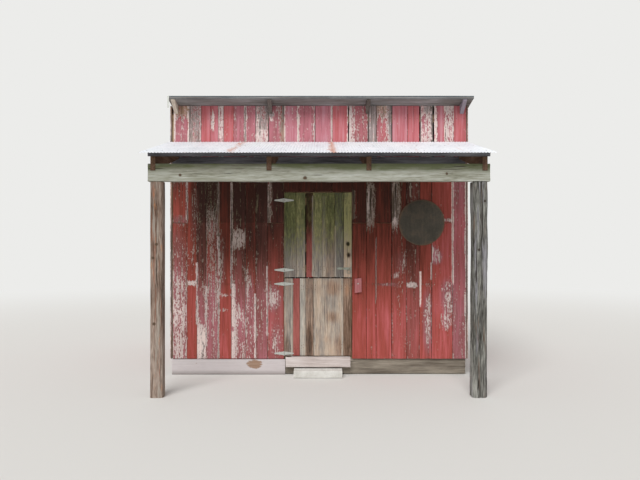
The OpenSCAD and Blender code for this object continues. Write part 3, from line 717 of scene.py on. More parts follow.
# worn and flaked places: a column on each of their boards, their middle and half size in pixels,
# then paint, primer and warmth
frontPatches = [
    ((181,), (181, 110), (10, 8), 0.15, 0.15, 1.0),
    ((213,), (213, 121), (1.6, 10), 0.15, 0.90, 0.6),
    ((260,), (257, 125), (3, 22), 0.20, 0.30, 0.3),
    ((260,), (262, 138), (6, 8), 0.40, 0.90, 0.3),
    ((272,), (270.5, 114), (1.4, 2.6), -0.30, -0.40, 0.2),
    ((272,), (271, 119.5), (1.2, 1.4), 0.00, 1.00, 0.5),
    ((352,), (351, 128), (3, 24), 0.35, 0.85, 0.3),
    ((382,), (381, 108), (10, 10), 0.22, 0.20, 0.7),
    ((427,), (427, 108), (6, 6), 0.20, 0.10, 0.4),
    ((178,), (180, 204), (9, 18), 0.94, 0.25, 1.0),
    ((178,), (177, 258), (9, 26), 0.72, 0.60, 0.3),
    ((178,), (177, 288), (13, 16), 0.50, 0.90, 0.1),
    ((178,), (177, 314), (13, 14), 0.34, 0.80, 0.1),
    ((178,), (177, 345), (13, 22), 0.44, 0.70, 0.1),
    ((192,), (192, 252), (6, 24), 0.68, 0.50, 0.7),
    ((192,), (192, 283), (7, 2.6), 0.15, 0.95, 0.7),
    ((200,), (200, 343), (13, 19), 0.00, 0.95, 0.1),
    ((200,), (200, 300), (10, 20), 0.72, 0.60, 0.1),
    ((178,), (180, 220), (7, 5), 0.62, 0.00, 0.2),
    ((211,), (211, 222), (7, 14), 0.34, 0.25, 0.1),
    ((211,), (211, 262), (8, 36), 0.60, 0.22, 0.5),
    ((211,), (212, 325), (9, 40), 0.66, 0.45, 0.0),
    ((224,), (221, 262), (4, 34), 0.58, 0.45, 0.3),
    ((224,), (226, 295), (6, 1.8), 0.40, 0.80, 0.6),
    ((224,), (225, 310), (4, 2.6), 0.40, 0.80, 0.9),
    ((238,), (238, 239), (8, 9), 0.14, 0.80, 0.0),
    ((238,), (236, 317), (8, 12), 0.30, 0.85, 0.2),
    ((238,), (239, 340), (9, 26), 0.58, 0.75, 0.2),
    ((250,), (248, 290), (4, 18), 0.45, 0.85, 0.2),
    ((250,), (250, 325), (7, 36), 0.64, 0.75, 0.2),
    ((261,), (262, 290), (8, 24), 0.74, 0.55, 0.0),
    ((275,), (273.5, 298), (6, 11), 0.36, 0.60, 0.0),
    ((275,), (276, 342), (5, 14), 0.60, 0.80, 0.3),
    ((192, 200), (195, 205), (4, 24), 0.64, 0.35, 0.2),
    ((371,), (370.5, 203), (5, 24), 0.10, 0.30, 0.2),
    ((371,), (368, 205), (0.8, 16), 0.00, 1.00, 0.2),
    ((395,), (395.2, 203), (4.4, 24), 0.00, 0.35, 0.2),
    ((395,), (394.5, 221), (3, 3.4), 0.00, 1.00, 0.2),
    ((411,), (411, 190), (8, 12), 0.60, 0.75, 0.3),
    ((445,), (447.5, 220), (4.5, 1.8), 0.35, 0.95, 0.2),
    ((400,), (402, 262), (5, 10), 0.68, 0.75, 0.3),
    ((400,), (396, 275.5), (3, 3), 0.42, 0.95, 0.3),
    ((384, 400), (388, 284.5), (9, 1.4), 0.70, 0.60, 0.0),
    ((411,), (411.5, 285), (6, 2.6), 0.10, 0.95, 0.2),
    ((436,), (433, 254), (4, 8), 0.10, 0.90, 0.0),
    ((436,), (437, 257), (5, 7), 0.58, 0.80, 0.0),
    ((445,), (447, 298), (7, 19), 0.48, 0.95, 0.2),
    ((445,), (446, 322), (5, 9), 0.36, 0.95, 0.2),
    ((426,), (428, 322), (5, 32), 0.54, 0.90, 0.1),
    ((459,), (460, 250), (9, 60), 0.94, 0.30, 0.5),
]
stripPlay = 0.2     # pixels either side of a strip that still count
# bare strips along the boards' edges: columns, rows, then fading, primer and warmth
frontStrips = [
    ((171.9, 175.4), (112, 150), 0.92, 0.9, 0.6), ((187.6, 189.2), (105, 150), 0.92, 0.8, 0.6),
    ((200.0, 201.0), (105, 150), 0.86, 0.4, 0.4), ((244.6, 246.0), (105, 150), 0.88, 0.5, 0.4),
    ((279.0, 284.0), (105, 150), 0.74, 0.0, 0.6), ((284.3, 285.0), (105, 150), 0.94, 0.9, 0.3),
    ((297.6, 298.8), (105, 150), 0.94, 0.9, 0.3), ((314.0, 314.9), (105, 150), 0.90, 0.6, 0.3),
    ((331.2, 332.4), (105, 150), 0.92, 0.9, 0.3), ((346.6, 348.0), (105, 150), 0.94, 0.9, 0.4),
    ((388.0, 391.6), (105, 150), 0.80, 0.2, 0.2), ((433.8, 436.4), (105, 150), 0.92, 0.9, 0.3),
    ((444.0, 446.0), (105, 150), 0.92, 0.8, 0.4), ((431.0, 433.0), (105, 150), 0.88, 0.6, 0.2),
    ((186.0, 187.6), (182, 223), 0.62, 0.5, 0.3), ((195.8, 197.6), (262, 324), 0.84, 0.7, 0.3),
    ((205.2, 206.8), (286, 346), 0.84, 0.7, 0.3), ((217.4, 219.6), (182, 236), 0.50, 0.2, 0.3),
    ((217.8, 219.0), (236, 358), 0.74, 0.6, 0.4), ((230.2, 232.4), (182, 288), 0.62, 0.5, 0.3),
    ((231.5, 233.8), (284, 358), 0.84, 0.9, 0.2), ((254.4, 256.0), (294, 358), 0.80, 0.8, 0.3),
    ((266.6, 267.8), (266, 336), 0.82, 0.8, 0.3), ((267.6, 270.2), (182, 223), 0.50, 0.3, 0.3),
    ((352.2, 354.8), (190, 219), 0.42, 0.0, 0.5), ((375.7, 376.3), (238, 300), 0.62, 0.4, 0.0),
    ((419.4, 421.0), (271, 307), 1.05, 1.0, 0.6), ((451.9, 453.4), (182, 285), 1.10, 1.0, 0.7),
    ((464.8, 466.1), (182, 358), 0.80, 0.7, 0.2), ((465.2, 466.1), (182, 262), 0.90, 0.9, 0.3),
    ((430.8, 432.0), (262, 280), 0.85, 0.9, 0.2),
]
# Fading of the lower course under the porch: unfaded paint together with painted shade of the porch roof
porchShade = {
    "foot": (0.58, 0.58, 0.60),       # fading near the ground: in the middle, at the left and right ends
    "underLine": (0.17, 0.42, 0.63),  # just under the old line
    "overLine": (0.08, 0.38, 0.63),
    "head": (0.00, 0.34, 0.60),       # under the porch roof
    "from": 0.55,               # heights between which the paint and its painted shade turn dark
    "to": 2.2,
    "leftEnd": (183, 206),      # columns over which the lighter ends turn into the dark, most shaded middle
    "rightEnd": (392, 456),
}
nailWear = {"height": 1.09, "reach": 0.022, "paint": 0.30, "primer": 0.25}    # round one row of nails
frontWear = {
    "alongFade": (0.04, 2.0),   # depth and waves a metre of the fading along a board under the porch
    "boardFade": 0.10,          # how far whole boards differ there, in fading and in warmth
    "boardWarm": 0.5,
    "patchFade": (0.38, 0.9),   # a bare patch is this much lighter, and at most this light
    "edge": 0.2,                # paint lost along the edges
    "strip": (0.22, 0.35),      # paint left in a strip, and how far that strays
}
patchEnds = (0.3, 1.7)          # a patch fades out between these shares of its half size


def porchFadeAndShade(point):
    # under the porch the paint is darker, most of all in the middle and near the top: partly paint that kept
    # its dark colour, partly painted shade of the porch roof
    shade = porchShade
    leftEnd, rightEnd = [[wallX(column) for column in shade[side]] for side in ("leftEnd", "rightEnd")]
    left, right = 1 - smoothStep(point.x, *leftEnd), smoothStep(point.x, *rightEnd)
    if point.z < oldLine:
        rise = smoothStep(point.z, shade["from"], oldLine)
        pairs = zip(shade["foot"], shade["underLine"])
    else:
        rise = smoothStep(point.z, oldLine, shade["to"])
        pairs = zip(shade["overLine"], shade["head"])
    middle, leftFade, rightFade = [mixed(a, b, rise) for a, b in pairs]
    return mixed(mixed(middle, leftFade, left), rightFade, right)


def photoSpot(point):
    # column and row of the photograph for a point on the front wall
    return (photo["middleColumn"] + point.x * photo["pixelsPerMetre"],
            photo["eyeRow"] - (point.z - photo["eyeHeight"]) * photo["pixelsPerMetre"])


def patchesOn(left, right):
    # the patches of the board between two seams
    return [patch[1:] for patch in frontPatches if any(left < column < right for column in patch[0])]


def patchShare(column, row, middle, reach):
    away = math.hypot((column - middle[0]) / reach[0], (row - middle[1]) / reach[1])
    return 1 - smoothStep(away, *patchEnds)


def spanned(value, ends, play):
    return ends[0] - play < value < ends[1] + play


def frontLook(kind, upper, seed, patches):
    alongFade, alongWaves = frontWear["alongFade"]
    lighter, lightest = frontWear["patchFade"]
    stripPaint, stripStray = frontWear["strip"]

    def look(point, edge):
        paint, fade, primer, warm = paintKinds[kind]
        column, row = photoSpot(point)
        if not upper:
            # porch fading, with the porch roof's painted shade in it
            fade = porchFadeAndShade(point) + alongFade * drift(seed, point.z, alongWaves)
            fade += frontWear["boardFade"] * drift(seed, 3.3)
            warm += frontWear["boardWarm"] * drift(seed, 5.1)
        for middle, reach, patchPaint, patchPrimer, patchWarm in patches:
            share = patchShare(column, row, middle, reach)
            if share:
                paint, primer = mixed(paint, patchPaint, share), mixed(primer, patchPrimer, share)
                warm = mixed(warm, patchWarm, share)
                fade = mixed(fade, max(fade, min(lightest, fade + lighter)), share * (1 - patchPaint))
        share = max(0.0, 1 - abs(point.z - nailWear["height"]) / nailWear["reach"])
        share *= smoothStep(drift(3, point.x, 5.0), -0.1, 0.5)
        paint, primer = paint - nailWear["paint"] * share, primer + nailWear["primer"] * share
        if edge:
            paint -= frontWear["edge"]
        for columns, rows, stripFade, stripPrimer, stripWarm in frontStrips:
            if spanned(column, columns, stripPlay) and spanned(row, rows, 0):
                ragged = drift(columns[0], point.z, 9.0) + 0.6 * drift(columns[1], point.z, 31.0)
                paint, fade = stripPaint + stripStray * ragged, stripFade
                primer, warm = stripPrimer, stripWarm
        return paint, fade, primer, warm

    return look


def courseBoards(course, low, high, upper):
    # the boards of one course, and where their nails go
    parts, nails = [], []
    seams = [wallX(column) for column in course["seams"]]
    seams[0], seams[-1] = frontLow.x, frontHigh.x
    for index, kind in enumerate(course["kinds"]):
        gapLeft, gapRight = [course["gaps"].get(seam, openGap) for seam in (index, index + 1)]
        left = seams[index] + (gapLeft / 2 if index else gapLeft - openGap)
        right = seams[index + 1] - (gapRight / 2 if index + 2 < len(seams) else cornerGap)
        overDoor = left > headLow.x - doorPlay and right < headHigh.x + doorPlay
        foot = max(low, headLow.z) if overDoor else low
        levels = [foot, oldLine, high] if index in course["split"] else [foot, high]
        patches = patchesOn(*course["seams"][index:index + 2])
        for start, end in zip(levels, levels[1:]):
            place = Matrix.Translation((left, wallFace + boardProud * chance.random(), start + openGap / 2))
            seed = 1.0 + index + (40 if upper else 0) + start
            parts.append(makeBoard(end - start - openGap, right - left, boardThickness - backGap, place,
                                   seed, frontStep, frontLook(kind, upper, seed, patches)))
        nails += nailPlaces(left, right, foot, high)
    return parts, nails


def makeFrontWall():
    upper, upperNails = courseBoards(upperCourse, courseLine, frontHigh.z, True)
    lower, lowerNails = courseBoards(lowerCourse, frontLow.z, courseLine, False)
    piece = makePiece("front_boards", joined(upper + lower), finishes["barn"],
                      standsFor=("front_wall_left", "front_wall_right", "front_wall_top"))
    spots = [Vector((x, wallFace, z)) for x, z in upperNails + lowerNails]
    driveNails("front_nails", piece, spots, Vector((0, 1, 0)))


makeFrontWall()
print("front wall boarded")


# Side and rear walls: the same boards, of mixed widths
plainWalls = {
    "step": 0.04,
    "widths": (0.12, 0.235),    # narrowest and widest board, metres
    "openGap": 0.009,
    "openShare": 0.25,          # share of the joints that stand open
    "kinds": ["rosy", "dusty", "streaked", "bright", "dusty", "patchy", "clear", "rosy", "flaking", "bare"],
    "footReach": 0.55,          # height over the boards' feet where the paint is worst
    "footWear": (0.30, 0.25),   # paint lost there, and primer shown
    "shade": 0.10,              # how much less faded than the front
    "eave": (0.5, 0.2),         # reach of the shade under the roof, and its depth
    "corner": (0.1, 0.84, 0.6), # paint, fading and primer of the end beside the front boards
    "cornerDepth": 0.006,
    "boardFade": 0.12,          # how far whole boards differ in fading
    "boardWarm": (0.5, 0.2),    # the same in warmth, and how much warmer they all are
    "edgeWear": (0.35, 0.1),    # paint lost along a worn edge, and along the others
    "short": 0.002,             # boards end this far under the roof boards
}
roofSlope = (leftHigh.z - rearHigh.z) / (rearLow.y - leftLow.y)


def plainLook(kind, foot, top, shade):
    warmStray, warmer = plainWalls["boardWarm"]
    wornEdge, soundEdge = plainWalls["edgeWear"]

    def look(point, edge):
        paint, fade, primer, warm = paintKinds[kind]
        low = 1 - smoothStep(point.z, foot, foot + plainWalls["footReach"])
        lost, shown = plainWalls["footWear"]
        paint -= lost * low * (0.5 + drift(shade, point.z, 2.0))
        primer += shown * low * (0.5 + drift(shade + 3, point.z, 3.0))
        reach, depth = plainWalls["eave"]
        fade += plainWalls["boardFade"] * drift(shade, 3.3) - plainWalls["shade"]
        fade -= depth * smoothStep(point.z, top - reach, top)
        warm += warmStray * drift(shade, 5.1) + warmer
        if edge:
            paint -= wornEdge if drift(shade + 11, edge) > 0 else soundEdge
        atFront = point.y < leftLow.y + plainWalls["cornerDepth"]
        if atFront and (point.x < 0 or point.z < courseLine):
            paint, fade, primer = plainWalls["corner"]
        return paint, fade, primer, warm

    return look


def makePlainWall(name, node, start, end, turn, face):
    # start and end are the places along the wall, face is where its outer side lies
    low, high = boxAround(node)
    foot = low.z
    sideWall = abs(turn) == 90

    def headAt(along):
        return high.z - (roofSlope * (along - leftLow.y) if sideWall else 0)

    parts, nails = [], []
    at = start
    number = 0
    while at < end - weldReach:
        width = chance.uniform(*plainWalls["widths"])
        if end - at - width < plainWalls["widths"][0]:
            width = end - at
        gap = plainWalls["openGap"] if chance.random() < plainWalls["openShare"] else openGap
        proud = boardProud * chance.random()
        kind = chance.choice(plainWalls["kinds"])
        near, far = at + gap / 2, at + width - gap / 2
        if turn == -90:
            origin = Vector((face + proud, far, foot))
        elif turn == 90:
            origin = Vector((face - proud, near, foot))
        else:
            origin = Vector((far, face - proud, foot))
        place = Matrix.Translation(origin) @ Matrix.Rotation(math.radians(turn), 4, "Z")
        length = high.z - foot - plainWalls["short"]
        top = None
        if sideWall:
            sign = -1 if turn == -90 else 1
            top = (lambda across, begin=origin.y, way=sign: -roofSlope * (begin + way * across - leftLow.y))
        number += 1
        seed = turn * 0.7 + number * 1.3
        look = plainLook(kind, foot, headAt(at), seed)
        parts.append(makeBoard(length, far - near, boardThickness - backGap, place, seed,
                               plainWalls["step"], look, top))
        places = nailPlaces(0, far - near, foot, headAt(at + width))
        nails += [place @ Vector((x, 0, z - foot)) for x, z in places]
        at += width
    piece = makePiece(name, joined(parts), finishes["barn"], standsFor=(node,))
    inward = Matrix.Rotation(math.radians(turn), 3, "Z") @ Vector((0, 1, 0))
    driveNails(name.replace("boards", "nails"), piece, nails, inward)


makePlainWall("left_boards", "left_wall", leftLow.y, leftHigh.y, -90, leftLow.x)
makePlainWall("right_boards", "right_wall", rightLow.y, rightHigh.y, 90, rightHigh.x)
makePlainWall("rear_boards", "rear_wall", rearLow.x, rearHigh.x, 180, rearHigh.y)
print("side and rear walls boarded")


# Door leaves: bare and painted boards of many widths, seams in pixels of the photograph
leafBoards = {
    "seams": {"upper_leaf": [283.5, 296.3, 305.8, 313.0, 322.3, 334.8, 343.8, 352.2],
              "lower_leaf": [283.5, 292.5, 299.8, 305.1, 313.2, 343.3, 352.2]},
    "kinds": {"upper_leaf": ["olive", "oliveTan", "red", "sage", "brown", "slate", "straw"],
              "lower_leaf": ["ash", "red", "pale", "earth", "tan", "umber"]},
    "seeds": {"upper_leaf": 60, "lower_leaf": 90},
    "ledges": {"upper_leaf": (1.262, 1.300, 2.070, 2.108), "lower_leaf": (0.316, 0.354, 1.036, 1.074)},
    "openings": {"upper_leaf": {2: 0.013, 5: 0.004}, "lower_leaf": {4: 0.006, 5: 0.004}},
    "growthAndShadeFrom": 1.02,     # green growth rises from here to the leaf's head, darkened to stand for painted shade there too
    "growthAndShadeTo": 2.02,
    "shadeFrom": 1.45,       # painted shade: paint and bare wood darken from here up, under the porch roof
    "shadeTo": 2.0,
    "shadeDepth": 0.06,
    "footReach": (0.3, 0.6),    # the paint is worn below these heights
    "footWear": 0.12,
    "edgeWear": 0.25,
    "stripPlay": 0.3,       # pixels either side of a strip that still count
    "backGap": 0.004,       # boards are this much thinner than the leaf
    "proud": 0.0015,
    "nailInset": 0.02,
    "nailStray": (0.003, 0.008),    # across and up
}
# paint left, tone of the bare wood, green growth (which also carries painted shade at the leaf's head),
# warmth of the wood
leafKinds = {
    "olive": (0.0, 0.54, 1.0, 0.25),
    "oliveTan": (0.0, 0.64, 0.95, 0.25),
    "red": (0.96, 0.55, 0.35, 0.3),
    "brown": (0.0, 0.55, 0.95, 0.4),
    "slate": (0.0, 0.46, 0.75, 0.0),
    "sage": (0.0, 0.66, 0.95, 0.3),
    "straw": (0.0, 0.80, 0.90, 0.5),
    "ash": (0.0, 0.56, 0.0, 0.26),
    "pale": (0.0, 0.80, 0.15, 0.15),
    "umber": (0.0, 0.42, 0.0, 0.7),
    "earth": (0.0, 0.50, 0.0, 0.5),
    "tan": (0.0, 0.73, 0.0, 0.40),
}
# knots and stains on the leaves: middle and half size in pixels, then tone and warmth
leafSpots = [
    ((348, 244), (1.5, 1.7), -0.30, 0.5), ((348.6, 255), (1.4, 2.2), -0.20, 0.5),
    ((331, 317), (2.2, 5.0), 0.44, 0.8), ((347, 290), (3.2, 9.0), 0.52, 0.98),
    ((333, 288), (2.2, 6.0), 0.60, 0.95), ((327, 339), (2.2, 5.0), 0.60, 0.95),
    ((309.5, 342), (2.8, 16.0), 0.24, 0.6), ((298.6, 346), (1.0, 10.0), -0.35, 0.2),
    ((348.5, 335), (4.0, 24.0), 0.26, 0.7), ((320, 282), (6.0, 3.0), 0.80, 0.5),
    ((340, 346), (3.0, 9.0), 0.42, 0.7), ((287, 346), (3.0, 9.0), 0.34, 0.4),
]
# pale edges of the boards: columns, rows and tone
leafStrips = [
    ((312.4, 313.7), (196, 277), 0.80), ((322.2, 325.4), (196, 277), 0.80),
    ((334.4, 336.0), (226, 277), 0.84), ((303.6, 304.8), (232, 277), 0.80),
    ((291.8, 292.8), (278, 357), 0.84), ((303.6, 305.2), (278, 357), 0.80),
    ((341.8, 343.2), (278, 357), 0.76), ((350.8, 352.2), (262, 277), 0.90),
]


def leafLook(kind):
    def look(point, edge):
        paint, tone, growth, warm = leafKinds[kind]
        column, row = photoSpot(point)
        for middle, reach, spotTone, spotWarm in leafSpots:
            share = patchShare(column, row, middle, reach)
            tone, warm = mixed(tone, spotTone, share), mixed(warm, spotWarm, share)
        rise = smoothStep(point.z, leafBoards["growthAndShadeFrom"], leafBoards["growthAndShadeTo"])
        growth *= rise
        paint -= leafBoards["footWear"] * (1 - smoothStep(point.z, *leafBoards["footReach"]))
        # painted shade: the bare wood darkens towards the leaf's head
        tone -= leafBoards["shadeDepth"] * smoothStep(point.z, leafBoards["shadeFrom"], leafBoards["shadeTo"])
        for columns, rows, stripTone in leafStrips:
            if spanned(column, columns, leafBoards["stripPlay"]) and spanned(row, rows, 0):
                # the pale strips darken upward with the painted shade too
                paint, tone, warm, growth = 0.0, stripTone - 0.25 * rise, 0.3, growth * 0.75
        if edge:
            paint -= leafBoards["edgeWear"]
        return paint, tone, growth, warm

    return look


leafWood = {
    # waves a metre
    "grain": (120.0, 120.0, 4.5),
    "hairs": (260.0, 260.0, 8.0),
    "slow": (16.0, 16.0, 2.0),
    "cracks": (150.0, 150.0, 1.6),
    "mould": (40.0, 40.0, 14.0),
    "slit": (38, 30, 24),
    "paints": [(0.0, (36, 22, 14)), (0.3, (70, 40, 30)), (0.6, (140, 74, 68)), (0.85, (172, 102, 96)),
               (1.0, (186, 124, 118))],
    "greys": [(0.0, (40, 34, 30)), (0.3, (96, 90, 86)), (0.6, (146, 140, 134)), (0.85, (182, 176, 164)),
              (1.0, (204, 198, 188))],
    "tans": [(0.0, (44, 30, 20)), (0.3, (104, 80, 64)), (0.6, (160, 134, 116)), (0.85, (192, 168, 146)),
             (1.0, (208, 190, 172))],
    "oranges": [(0.0, (70, 40, 20)), (0.5, (156, 104, 66)), (1.0, (204, 150, 108))],
    # dark greens of the growth, which also stand for painted shade at the leaf's head
    "growthsAndShade": [(0.0, (48, 52, 26)), (0.4, (84, 90, 50)), (0.7, (118, 120, 74)), (1.0, (152, 150, 100))],
}


def makeLeafFinish():
    values = leafWood
    f = Finish("door_timber")
    paint, tone, growth, seed, warm = f.look()
    f.shift(seed)
    grain = f.away(f.grains(values["grain"], 5.0, 0.62, 0.3))
    hairs = f.away(f.grains(values["hairs"], 3.0, 0.6))
    slow = f.away(f.grains(values["slow"], 4.0, 0.55))
    crack = f.grains(values["cracks"], 2.0, 0.4)
    mould = f.away(f.grains(values["mould"], 6.0, 0.68))
    light = f.total(tone, (grain, 0.75), (hairs, 0.9), (slow, 0.55), (mould, 0.35))
    wood = f.blend(f.level(f.total(warm, (slow, 0.8), (mould, 0.5)), 0.1, 0.7),
                   f.ramp(light, values["greys"]), f.ramp(light, values["tans"]))
    wood = f.blend(f.level(warm, 0.85, 1.15), wood, f.ramp(light, values["oranges"]))
    painted = f.level(f.total(paint, (grain, 1.3), (slow, 1.0), (mould, 1.2)), 0.46, 0.54)
    # painted shade: the red paint darkens up the leaf, under the porch roof
    shade = f.level(f.axis("Z"), leafBoards["shadeFrom"], leafBoards["shadeTo"], 0.68, 0.16)
    red = f.ramp(f.total(shade, (slow, 0.8), (grain, 0.7)), values["paints"])
    colour = f.blend(painted, wood, red)
    # green growth, which also stands for painted shade near the leaf's head
    green = f.level(f.total(growth, (mould, 1.0), (grain, 0.5)), 0.12, 0.95, 0.0, 0.9)
    shade = f.total(0.5, (f.away(tone), 1.8), (grain, 1.0), (hairs, 0.6), (mould, 1.8), (slow, 0.6))
    colour = f.blend(green, colour, f.ramp(shade, values["growthsAndShade"]))
    slit = f.level(crack, 0.27, 0.33)
    colour = f.blend(slit, values["slit"], colour)
    height = f.total(f.sums("MULTIPLY", slit, 0.8), (grain, 0.8), (hairs, 0.4), (painted, 0.15))
    return f.surface(colour, 0.86, height, depth=0.0016, gloss=0.2)


finishes["leaf"] = makeLeafFinish()


def makeLeaf(body):
    node, kinds = body + "_boards", leafBoards["kinds"][body]
    low, high = boxAround(node)
    columns = [wallX(column) for column in leafBoards["seams"][body]]
    openings = leafBoards["openings"][body]
    parts, nails = [], []
    for index, kind in enumerate(kinds):
        gaps = [openings.get(seam, openGap) for seam in (index, index + 1)]
        left = max(low.x, columns[index] + gaps[0] / 2) if index else low.x
        right = min(high.x, columns[index + 1] - gaps[1] / 2) if index + 1 < len(kinds) else high.x
        place = Matrix.Translation((left, low.y + leafBoards["proud"] * chance.random(), low.z))
        parts.append(makeBoard(high.z - low.z, right - left, high.y - low.y - leafBoards["backGap"], place,
                               leafBoards["seeds"][body] + index * 1.7, frontStep, leafLook(kind)))
        inset = min(leafBoards["nailInset"], (right - left) / 2)
        aside, up = leafBoards["nailStray"]
        nails += [Vector((x + chance.uniform(-1, 1) * aside, low.y, z + chance.uniform(-1, 1) * up))
                  for x in (left + inset, right - inset) for z in leafBoards["ledges"][body]]
    piece = makePiece(body + "_planks", joined(parts), finishes["leaf"], body=body,
                      standsFor=(node,))
    driveNails(body + "_nails", piece, nails, Vector((0, 1, 0)), body)


makeLeaf("upper_leaf")
makeLeaf("lower_leaf")
print("door leaves boarded")


# Roof boards and floor boards, laid side by side along X
laidBoards = {
    "roofWidth": 0.148,
    "floorWidth": 0.137,
    "gap": 0.004,
    "backGap": 0.004,
    "proud": 0.002,
    "step": 0.06,
}
slopeAngle = math.atan(roofSlope)


def layBoards(name, node, origin, across, inward, reach, length, width, thickness, finish):
    # across is the way the rows go on, inward points away from the face
    frameOf = Matrix((across, inward, across.cross(inward))).transposed().to_4x4()
    rows = max(1, round(reach / width))
    pitch = reach / rows
    parts = []
    for row in range(rows):
        proud = laidBoards["proud"] * chance.random()
        corner = origin + across * (row * pitch + laidBoards["gap"] / 2) + inward * proud
        parts.append(makeBoard(length, pitch - laidBoards["gap"], thickness - laidBoards["backGap"],
                               Matrix.Translation(corner) @ frameOf, 120 + row * 1.1, laidBoards["step"]))
    return makePiece(name, joined(parts), finish, standsFor=(node,))


deckLow, deckHigh = boxAround("roof_boards")
deckThickness = (deckHigh.z - leftHigh.z - (leftLow.y - deckLow.y) * roofSlope) * math.cos(slopeAngle)
slopeDown = Vector((0, math.cos(slopeAngle), -math.sin(slopeAngle)))
slopeIn = Vector((0, -math.sin(slopeAngle), -math.cos(slopeAngle)))
deckTop = Vector((deckHigh.x, deckLow.y, deckHigh.z))
layBoards("roof_deck_boards", "roof_boards", deckTop, slopeDown, slopeIn,
          (deckHigh.y - deckLow.y) / math.cos(slopeAngle), deckHigh.x - deckLow.x,
          laidBoards["roofWidth"], deckThickness, finishes["roofAcross"])
floorLow, floorHigh = boxAround("floor")
layBoards("floor_planks", "floor", Vector((floorHigh.x, floorLow.y, floorHigh.z)), Vector((0, 1, 0)),
          Vector((0, 0, -1)), floorHigh.y - floorLow.y, floorHigh.x - floorLow.x,
          laidBoards["floorWidth"], floorHigh.z - floorLow.z, finishes["frameAcross"])
print("roof and floor boards laid")


# Hewn timbers: every face a little uneven, worn more along the edges
hewnTimber = {
    "arris": 0.006,
    "step": 0.03,       # spacing of the loops along the timber
    "cell": 0.03,       # spacing across it
    "fine": 0.0022,     # depth of the saw marks and weathered grain
    "fineWaves": (34, 3.5),     # their waves a metre, across and along
    "slow": 0.004,      # depth of the long waves
    "slowWaves": (4, 1.4),
}


def makeHewn(low, high, along, seed, hewn):
    part = bmesh.new()
    addBox(part, low, high)
    roundEdges(part, edgesAlong(part, along), hewn["arris"], 2)
    for axis in range(3):
        spacing = hewn["step"] if axis == along else hewn["cell"]
        cutAlong(part, axis, max(1, round((high[axis] - low[axis]) / spacing)) - 1)
    part.normal_update()
    moves = []
    for v in part.verts:
        spots = []
        for across, lengthwise in (hewn["fineWaves"], hewn["slowWaves"]):
            spot = v.co * across
            spot[along] = v.co[along] * lengthwise
            spots.append(spot)
        fine = noise.fractal(spots[0] + Vector((seed, 0, 0)), 0.7, 2.1, 3)
        slow = noise.noise(spots[1] + Vector((0, seed, 0)))
        moves.append(v.normal * -(hewn["fine"] * (0.6 + fine) + hewn["slow"] * (0.5 + 0.5 * slow)))
    for v, move in zip(part.verts, moves):
        if abs(v.co.z) > 1e-6 or move.z > 0:
            v.co += move
    return part


# Sheets: a line of points, drawn out in steps
def drawSheet(spots, steps, move):
    part = bmesh.new()
    line = [part.verts.new(spot) for spot in spots]
    edges = [part.edges.new(pair) for pair in zip(line, line[1:])]
    for _ in range(steps):
        made = bmesh.ops.extrude_edge_only(part, edges=edges)["geom"]
        edges = [item for item in made if isinstance(item, bmesh.types.BMEdge)]
        verts = [item for item in made if isinstance(item, bmesh.types.BMVert)]
        bmesh.ops.translate(part, verts=verts, vec=move)
    return part


def thickenSheet(part, thickness):
    # turns a bent sheet's faces up, and gives it a thickness below
    bmesh.ops.recalc_face_normals(part, faces=part.faces)
    if sum(face.normal.z * face.calc_area() for face in part.faces) < 0:
        bmesh.ops.reverse_faces(part, faces=part.faces)
    bmesh.ops.solidify(part, geom=part.faces, thickness=thickness)


# Porch beam, with a notch sawn for each rafter
beamTimber = {
    **hewnTimber,
    "arris": 0.008,
    "step": 0.026,
    "cell": 0.022,
    "notchPlay": 0.0015,    # round the rafter
    "notchPast": 0.02,      # the cut goes this far past the faces
    "notchOver": 0.2,       # and this far over the rafter
    "frontDepth": 0.002,    # a rafter's front end lies this close to the beam's face
}


def makeBeam():
    low, high = boxAround("porch_beam")
    part = makeHewn(low, high, 0, 3.0, beamTimber)
    play, past, over = beamTimber["notchPlay"], beamTimber["notchPast"], beamTimber["notchOver"]
    cutters = []
    for rafter in islands("porch_rafters"):
        left, right, under, top = frontSpan([v for v in rafter if v.y < low.y + beamTimber["frontDepth"]])
        cutter = bmesh.new()
        corners = addBox(cutter, (left - play, low.y - past, under - play),
                         (right + play, high.y + past, top + over))
        for v in corners:
            v.co.z += porchSlope * (v.co.y - low.y)
        cutters.append(cutter)
    part = subtract(part, joined(cutters))
    return makePiece("porch_beam_hewn", part, finishes["beam"],
                     standsFor=("porch_beam",), smoothAngle=40)


sheetLow, sheetHigh = boxAround("porch_sheets")
# Corrugated sheets on the porch, lapped side over side
porchSheets = {
    "count": 8,
    "wave": 0.03175,
    "coverWaves": 14,
    "lapWaves": 1.5,
    "depth": 0.0064,
    "thickness": 0.0008,
    "play": 0.0003,         # between lapped sheets
    "slopeDegrees": 13.7,
    "wallGap": 0.003,
    "pointsPerWave": 10,
    "rows": 26,
    "dent": 0.0016,
    "eaveLift": 0.004,
    "nailEvery": 5,         # crests between nails
    "nailStray": 0.006,
    "nailRadius": 0.0058,
    "short": 0.002,         # the sheets end this far inside their box
}
porchSlope = math.tan(math.radians(porchSheets["slopeDegrees"]))


